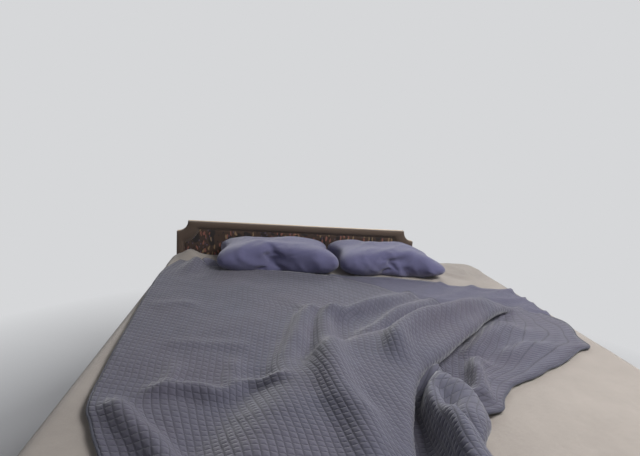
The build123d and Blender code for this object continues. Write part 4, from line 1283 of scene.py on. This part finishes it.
# %% Solve the places
edge_slack, path_slack = 0.02, 0.03            # how far before an overlap's edge its cloth may already begin
crossing_fade = 0.05                           # a fold that crosses the edge fades inside the overlap
# for each area the share of the error that a round takes away, and the rounds: the steep wall needs small steps
STEPS = {0: (0.55, 28), 1: (0.2, 70), 2: (0.55, 28)}


def solve(cloth, area, start):
    """Plan points whose cloth is the cloth given."""
    plan = start.copy()
    share, rounds = STEPS[area]
    for _ in range(rounds):
        plan = plan + share * (cloth - cloth_at(plan, area, warp)[0])
    return plan


def along_overlap(cloth, row, before):
    """For cloth points: nearest place on the overlap's edge, run, direction, and how much cloth beyond the edge."""
    path = row["fine"]
    run, direction = from_path(path, path)[1:3]
    away = cloth[:, None] - cloth_at(path, before, warp)[0][None]
    beyond = np.einsum("ijk,jk->ij", away, direction)
    cross = away[..., 0] * direction[None, :, 1] - away[..., 1] * direction[None, :, 0]
    k = np.clip(np.where(beyond > -path_slack, np.abs(cross), 9).argmin(1), 1, len(path) - 2)
    i = np.arange(len(cloth))
    here, after, prior = cross[i, k], cross[i, k + 1], cross[i, k - 1]
    share = np.where(here * after < 0, here / (here - after + 1e-12),
                     np.where(here * prior < 0, -here / (here - prior + 1e-12), 0))
    j, g = np.where(share >= 0, k + 1, k - 1), np.abs(np.clip(share, -1, 1))

    def between(values):
        return values[k] * (1 - g[:, None]) + values[j] * g[:, None]

    return (between(path), between(run[:, None])[:, 0], unit(between(direction)),
            beyond[i, k] * (1 - g) + beyond[i, j] * g)


def turned_back(row, edge, run, direction, beyond, area):
    """Places of cloth inside an overlap: half circle, back, half circle, forward."""
    width, upper, lower, taken = overlap_at(row, run)
    s, top = np.clip(beyond, 0, None), 2 * (upper + lower)
    back = s - math.pi * upper
    last = back - width
    bend = np.clip(last / lower, 0, math.pi)
    parts = [back < 0, back < width, last < math.pi * lower]
    out = np.select(parts, [upper * np.sin(s / upper), -back, -width - lower * np.sin(bend)],
                    -width + last - math.pi * lower)
    z = np.select(parts, [top - upper * (1 - np.cos(s / upper)), 2 * lower,
                          2 * lower - lower * (1 - np.cos(bend))], 0)
    crossing_fold = np.clip(cloth_at(edge, area, warp)[1] - top, 0, None)
    return edge + out[:, None] * direction, z + crossing_fold * np.exp(-s / crossing_fade), taken


stitches = np.array([(i, j) for j in range(quilt_rows + 1) for i in range(quilt_columns + 1)], float) * stitch_square
first_guess = stitches + thin_plate(marks_cloth, marks_plan - marks_cloth)(stitches)
quilt_plan, quilt_height = np.zeros_like(stitches), np.zeros(len(stitches))
open_points = np.arange(len(stitches))


def settle(places, heights, inside):
    """Keeps the places of the open points that are inside, and returns the points that stay open."""
    settled = open_points[inside]
    quilt_plan[settled], quilt_height[settled] = places[inside], heights[inside]
    return open_points[~inside]


for area in range(3):
    plan = solve(stitches[open_points], area, first_guess[open_points])
    open_points = settle(plan, cloth_at(plan, area, warp)[1], (area_of(plan) == area) | (area == 2))
    if area < 2:
        row = OVERLAPS[area]
        edge, run, direction, beyond = along_overlap(stitches[open_points], row, area)
        place, z, taken = turned_back(row, edge, run, direction, beyond, area)
        open_points = settle(place, z, (beyond > -edge_slack) & (beyond < taken) & ((area == 0) | (run > 0)))
print(f"{len(stitches)} stitches placed, heights up to {quilt_height.max():.3f} m")

# %% [markdown]
# ## Coverlet: over the foot, puffed and bound
# The plan is bent down over the foot end, smoothed a little, and refined once, so that each stitched square has a
# point in its middle. That point is raised along the surface's normal: this is the padding's puff. The cloth then
# gets its thickness, and a binding is swept round its four edges with Geometry Nodes.

# %% Coverlet mesh
def refined(grid, axis):
    """Twice as many steps along an axis, through the old points (cubic)."""
    g = np.moveaxis(grid, axis, 0)
    ends = np.concatenate([2 * g[:1] - g[1:2], g, 2 * g[-1:] - g[-2:-1]])
    out = np.empty((2 * len(g) - 1,) + g.shape[1:])
    out[::2], out[1::2] = g, (9 * (ends[1:-2] + ends[2:-1]) - ends[:-3] - ends[3:]) / 16
    return np.moveaxis(out, 0, axis)


quilt_thickness, quilt_lift, foot_bend, foot_gap = 0.006, 0.0060, 0.030, 0.0050
puff, unevenness, ease_rounds, ease_share, slit_middle, slit_reach = 0.0014, 0.0035, 3, 0.35, 0.02, 0.035
depth = head_y - quilt_plan[:, 1]
arc = foot_y - foot_gap + foot_bend - depth
angle = np.clip(arc / foot_bend, 0, math.pi / 2)
level = bed_top + quilt_lift
hung = quilt_height * (1 - 0.35 * np.sin(angle))     # its own weight pulls the hanging folds flatter
bent_y = np.where(arc > 0, foot_y - foot_gap + foot_bend - (foot_bend + hung) * np.sin(angle), depth)
bent_z = np.where(arc > 0, level - foot_bend + (foot_bend + hung) * np.cos(angle)
                  - np.clip(arc - foot_bend * math.pi / 2, 0, None), level + hung)
grid = np.stack([quilt_plan[:, 0], bent_y, bent_z], 1).reshape(quilt_rows + 1, quilt_columns + 1, 3)
from_slit = np.abs(from_path(quilt_plan, OVERLAPS[0]["path"])[0] - slit_middle)
at_slit = np.exp(-(from_slit / slit_reach) ** 2) * soft_step((quilt_plan[:, 1] - 1.0) / 0.15)
ease = (ease_share * (1 - 0.85 * at_slit)).reshape(quilt_rows + 1, quilt_columns + 1, 1)   # the slit stays sharp
for _ in range(ease_rounds):
    wide = np.pad(grid, ((1, 1), (1, 1), (0, 0)), mode="reflect", reflect_type="odd")
    mean = (wide[:-2, 1:-1] + wide[2:, 1:-1] + wide[1:-1, :-2] + wide[1:-1, 2:]) / 4
    grid = grid + ease * (mean - grid)
grid = refined(refined(grid, 0), 1)
rows, columns = grid.shape[0] - 1, grid.shape[1] - 1
normal = np.cross(np.gradient(grid, axis=1), -np.gradient(grid, axis=0))
normal /= np.linalg.norm(normal, axis=2)[..., None]
uneven = np.array([[noise.noise(Vector((i * 0.06, j * 0.06, 0.7))) + 0.5 * noise.noise(Vector((i * 0.16, j * 0.16, 4)))
                    for i in range(columns + 1)] for j in range(rows + 1)])
raised = unevenness * np.clip(uneven + 0.3, 0, None)
raised[1::2, 1::2] += puff
grid = grid + normal * raised[..., None]
coverlet = mesh_piece("coverlet", grid.reshape(-1, 3), grid_faces(columns, rows))
lay_uv(coverlet, np.array([(i, -j) for j in range(rows + 1) for i in range(columns + 1)]) * stitch_square / 2)
thicken(coverlet, quilt_thickness)
place_piece(coverlet, "bed", quilt_finish, "quilted_cotton", "quilt")

# %% Binding, swept round the edge with Geometry Nodes
def sweep_tree():
    """An edge loop becomes a closed tube."""
    tree, nodes, given = geometry_tree("edge_binding", Radius="Float", Spacing="Float", Finish="Material")
    line = nodes.add("GeometryNodeMeshToCurve", {0: given["Geometry"]}).outputs[0]
    even = nodes.add("GeometryNodeResampleCurve", {0: line, 3: given["Spacing"]}, mode="LENGTH").outputs[0]
    profile = nodes.add("GeometryNodeCurvePrimitiveCircle", {"Resolution": 8, "Radius": given["Radius"]}).outputs[0]
    tube = nodes.add("GeometryNodeCurveToMesh", {0: even, 1: profile}).outputs[0]
    return end_tree(tree, nodes, tube, given, smooth=True)


rim_points = [grid[j, i] for i, j in grid_rim(columns, rows)]
rim_edges = [(k, (k + 1) % len(rim_points)) for k in range(len(rim_points))]
binding = run_tree("coverlet_binding", rim_points, rim_edges, sweep_tree(), Radius=0.0036, Spacing=0.008,
                   Finish=binding_cotton)
place_piece(binding, "bed", binding_cotton, "quilted_cotton")
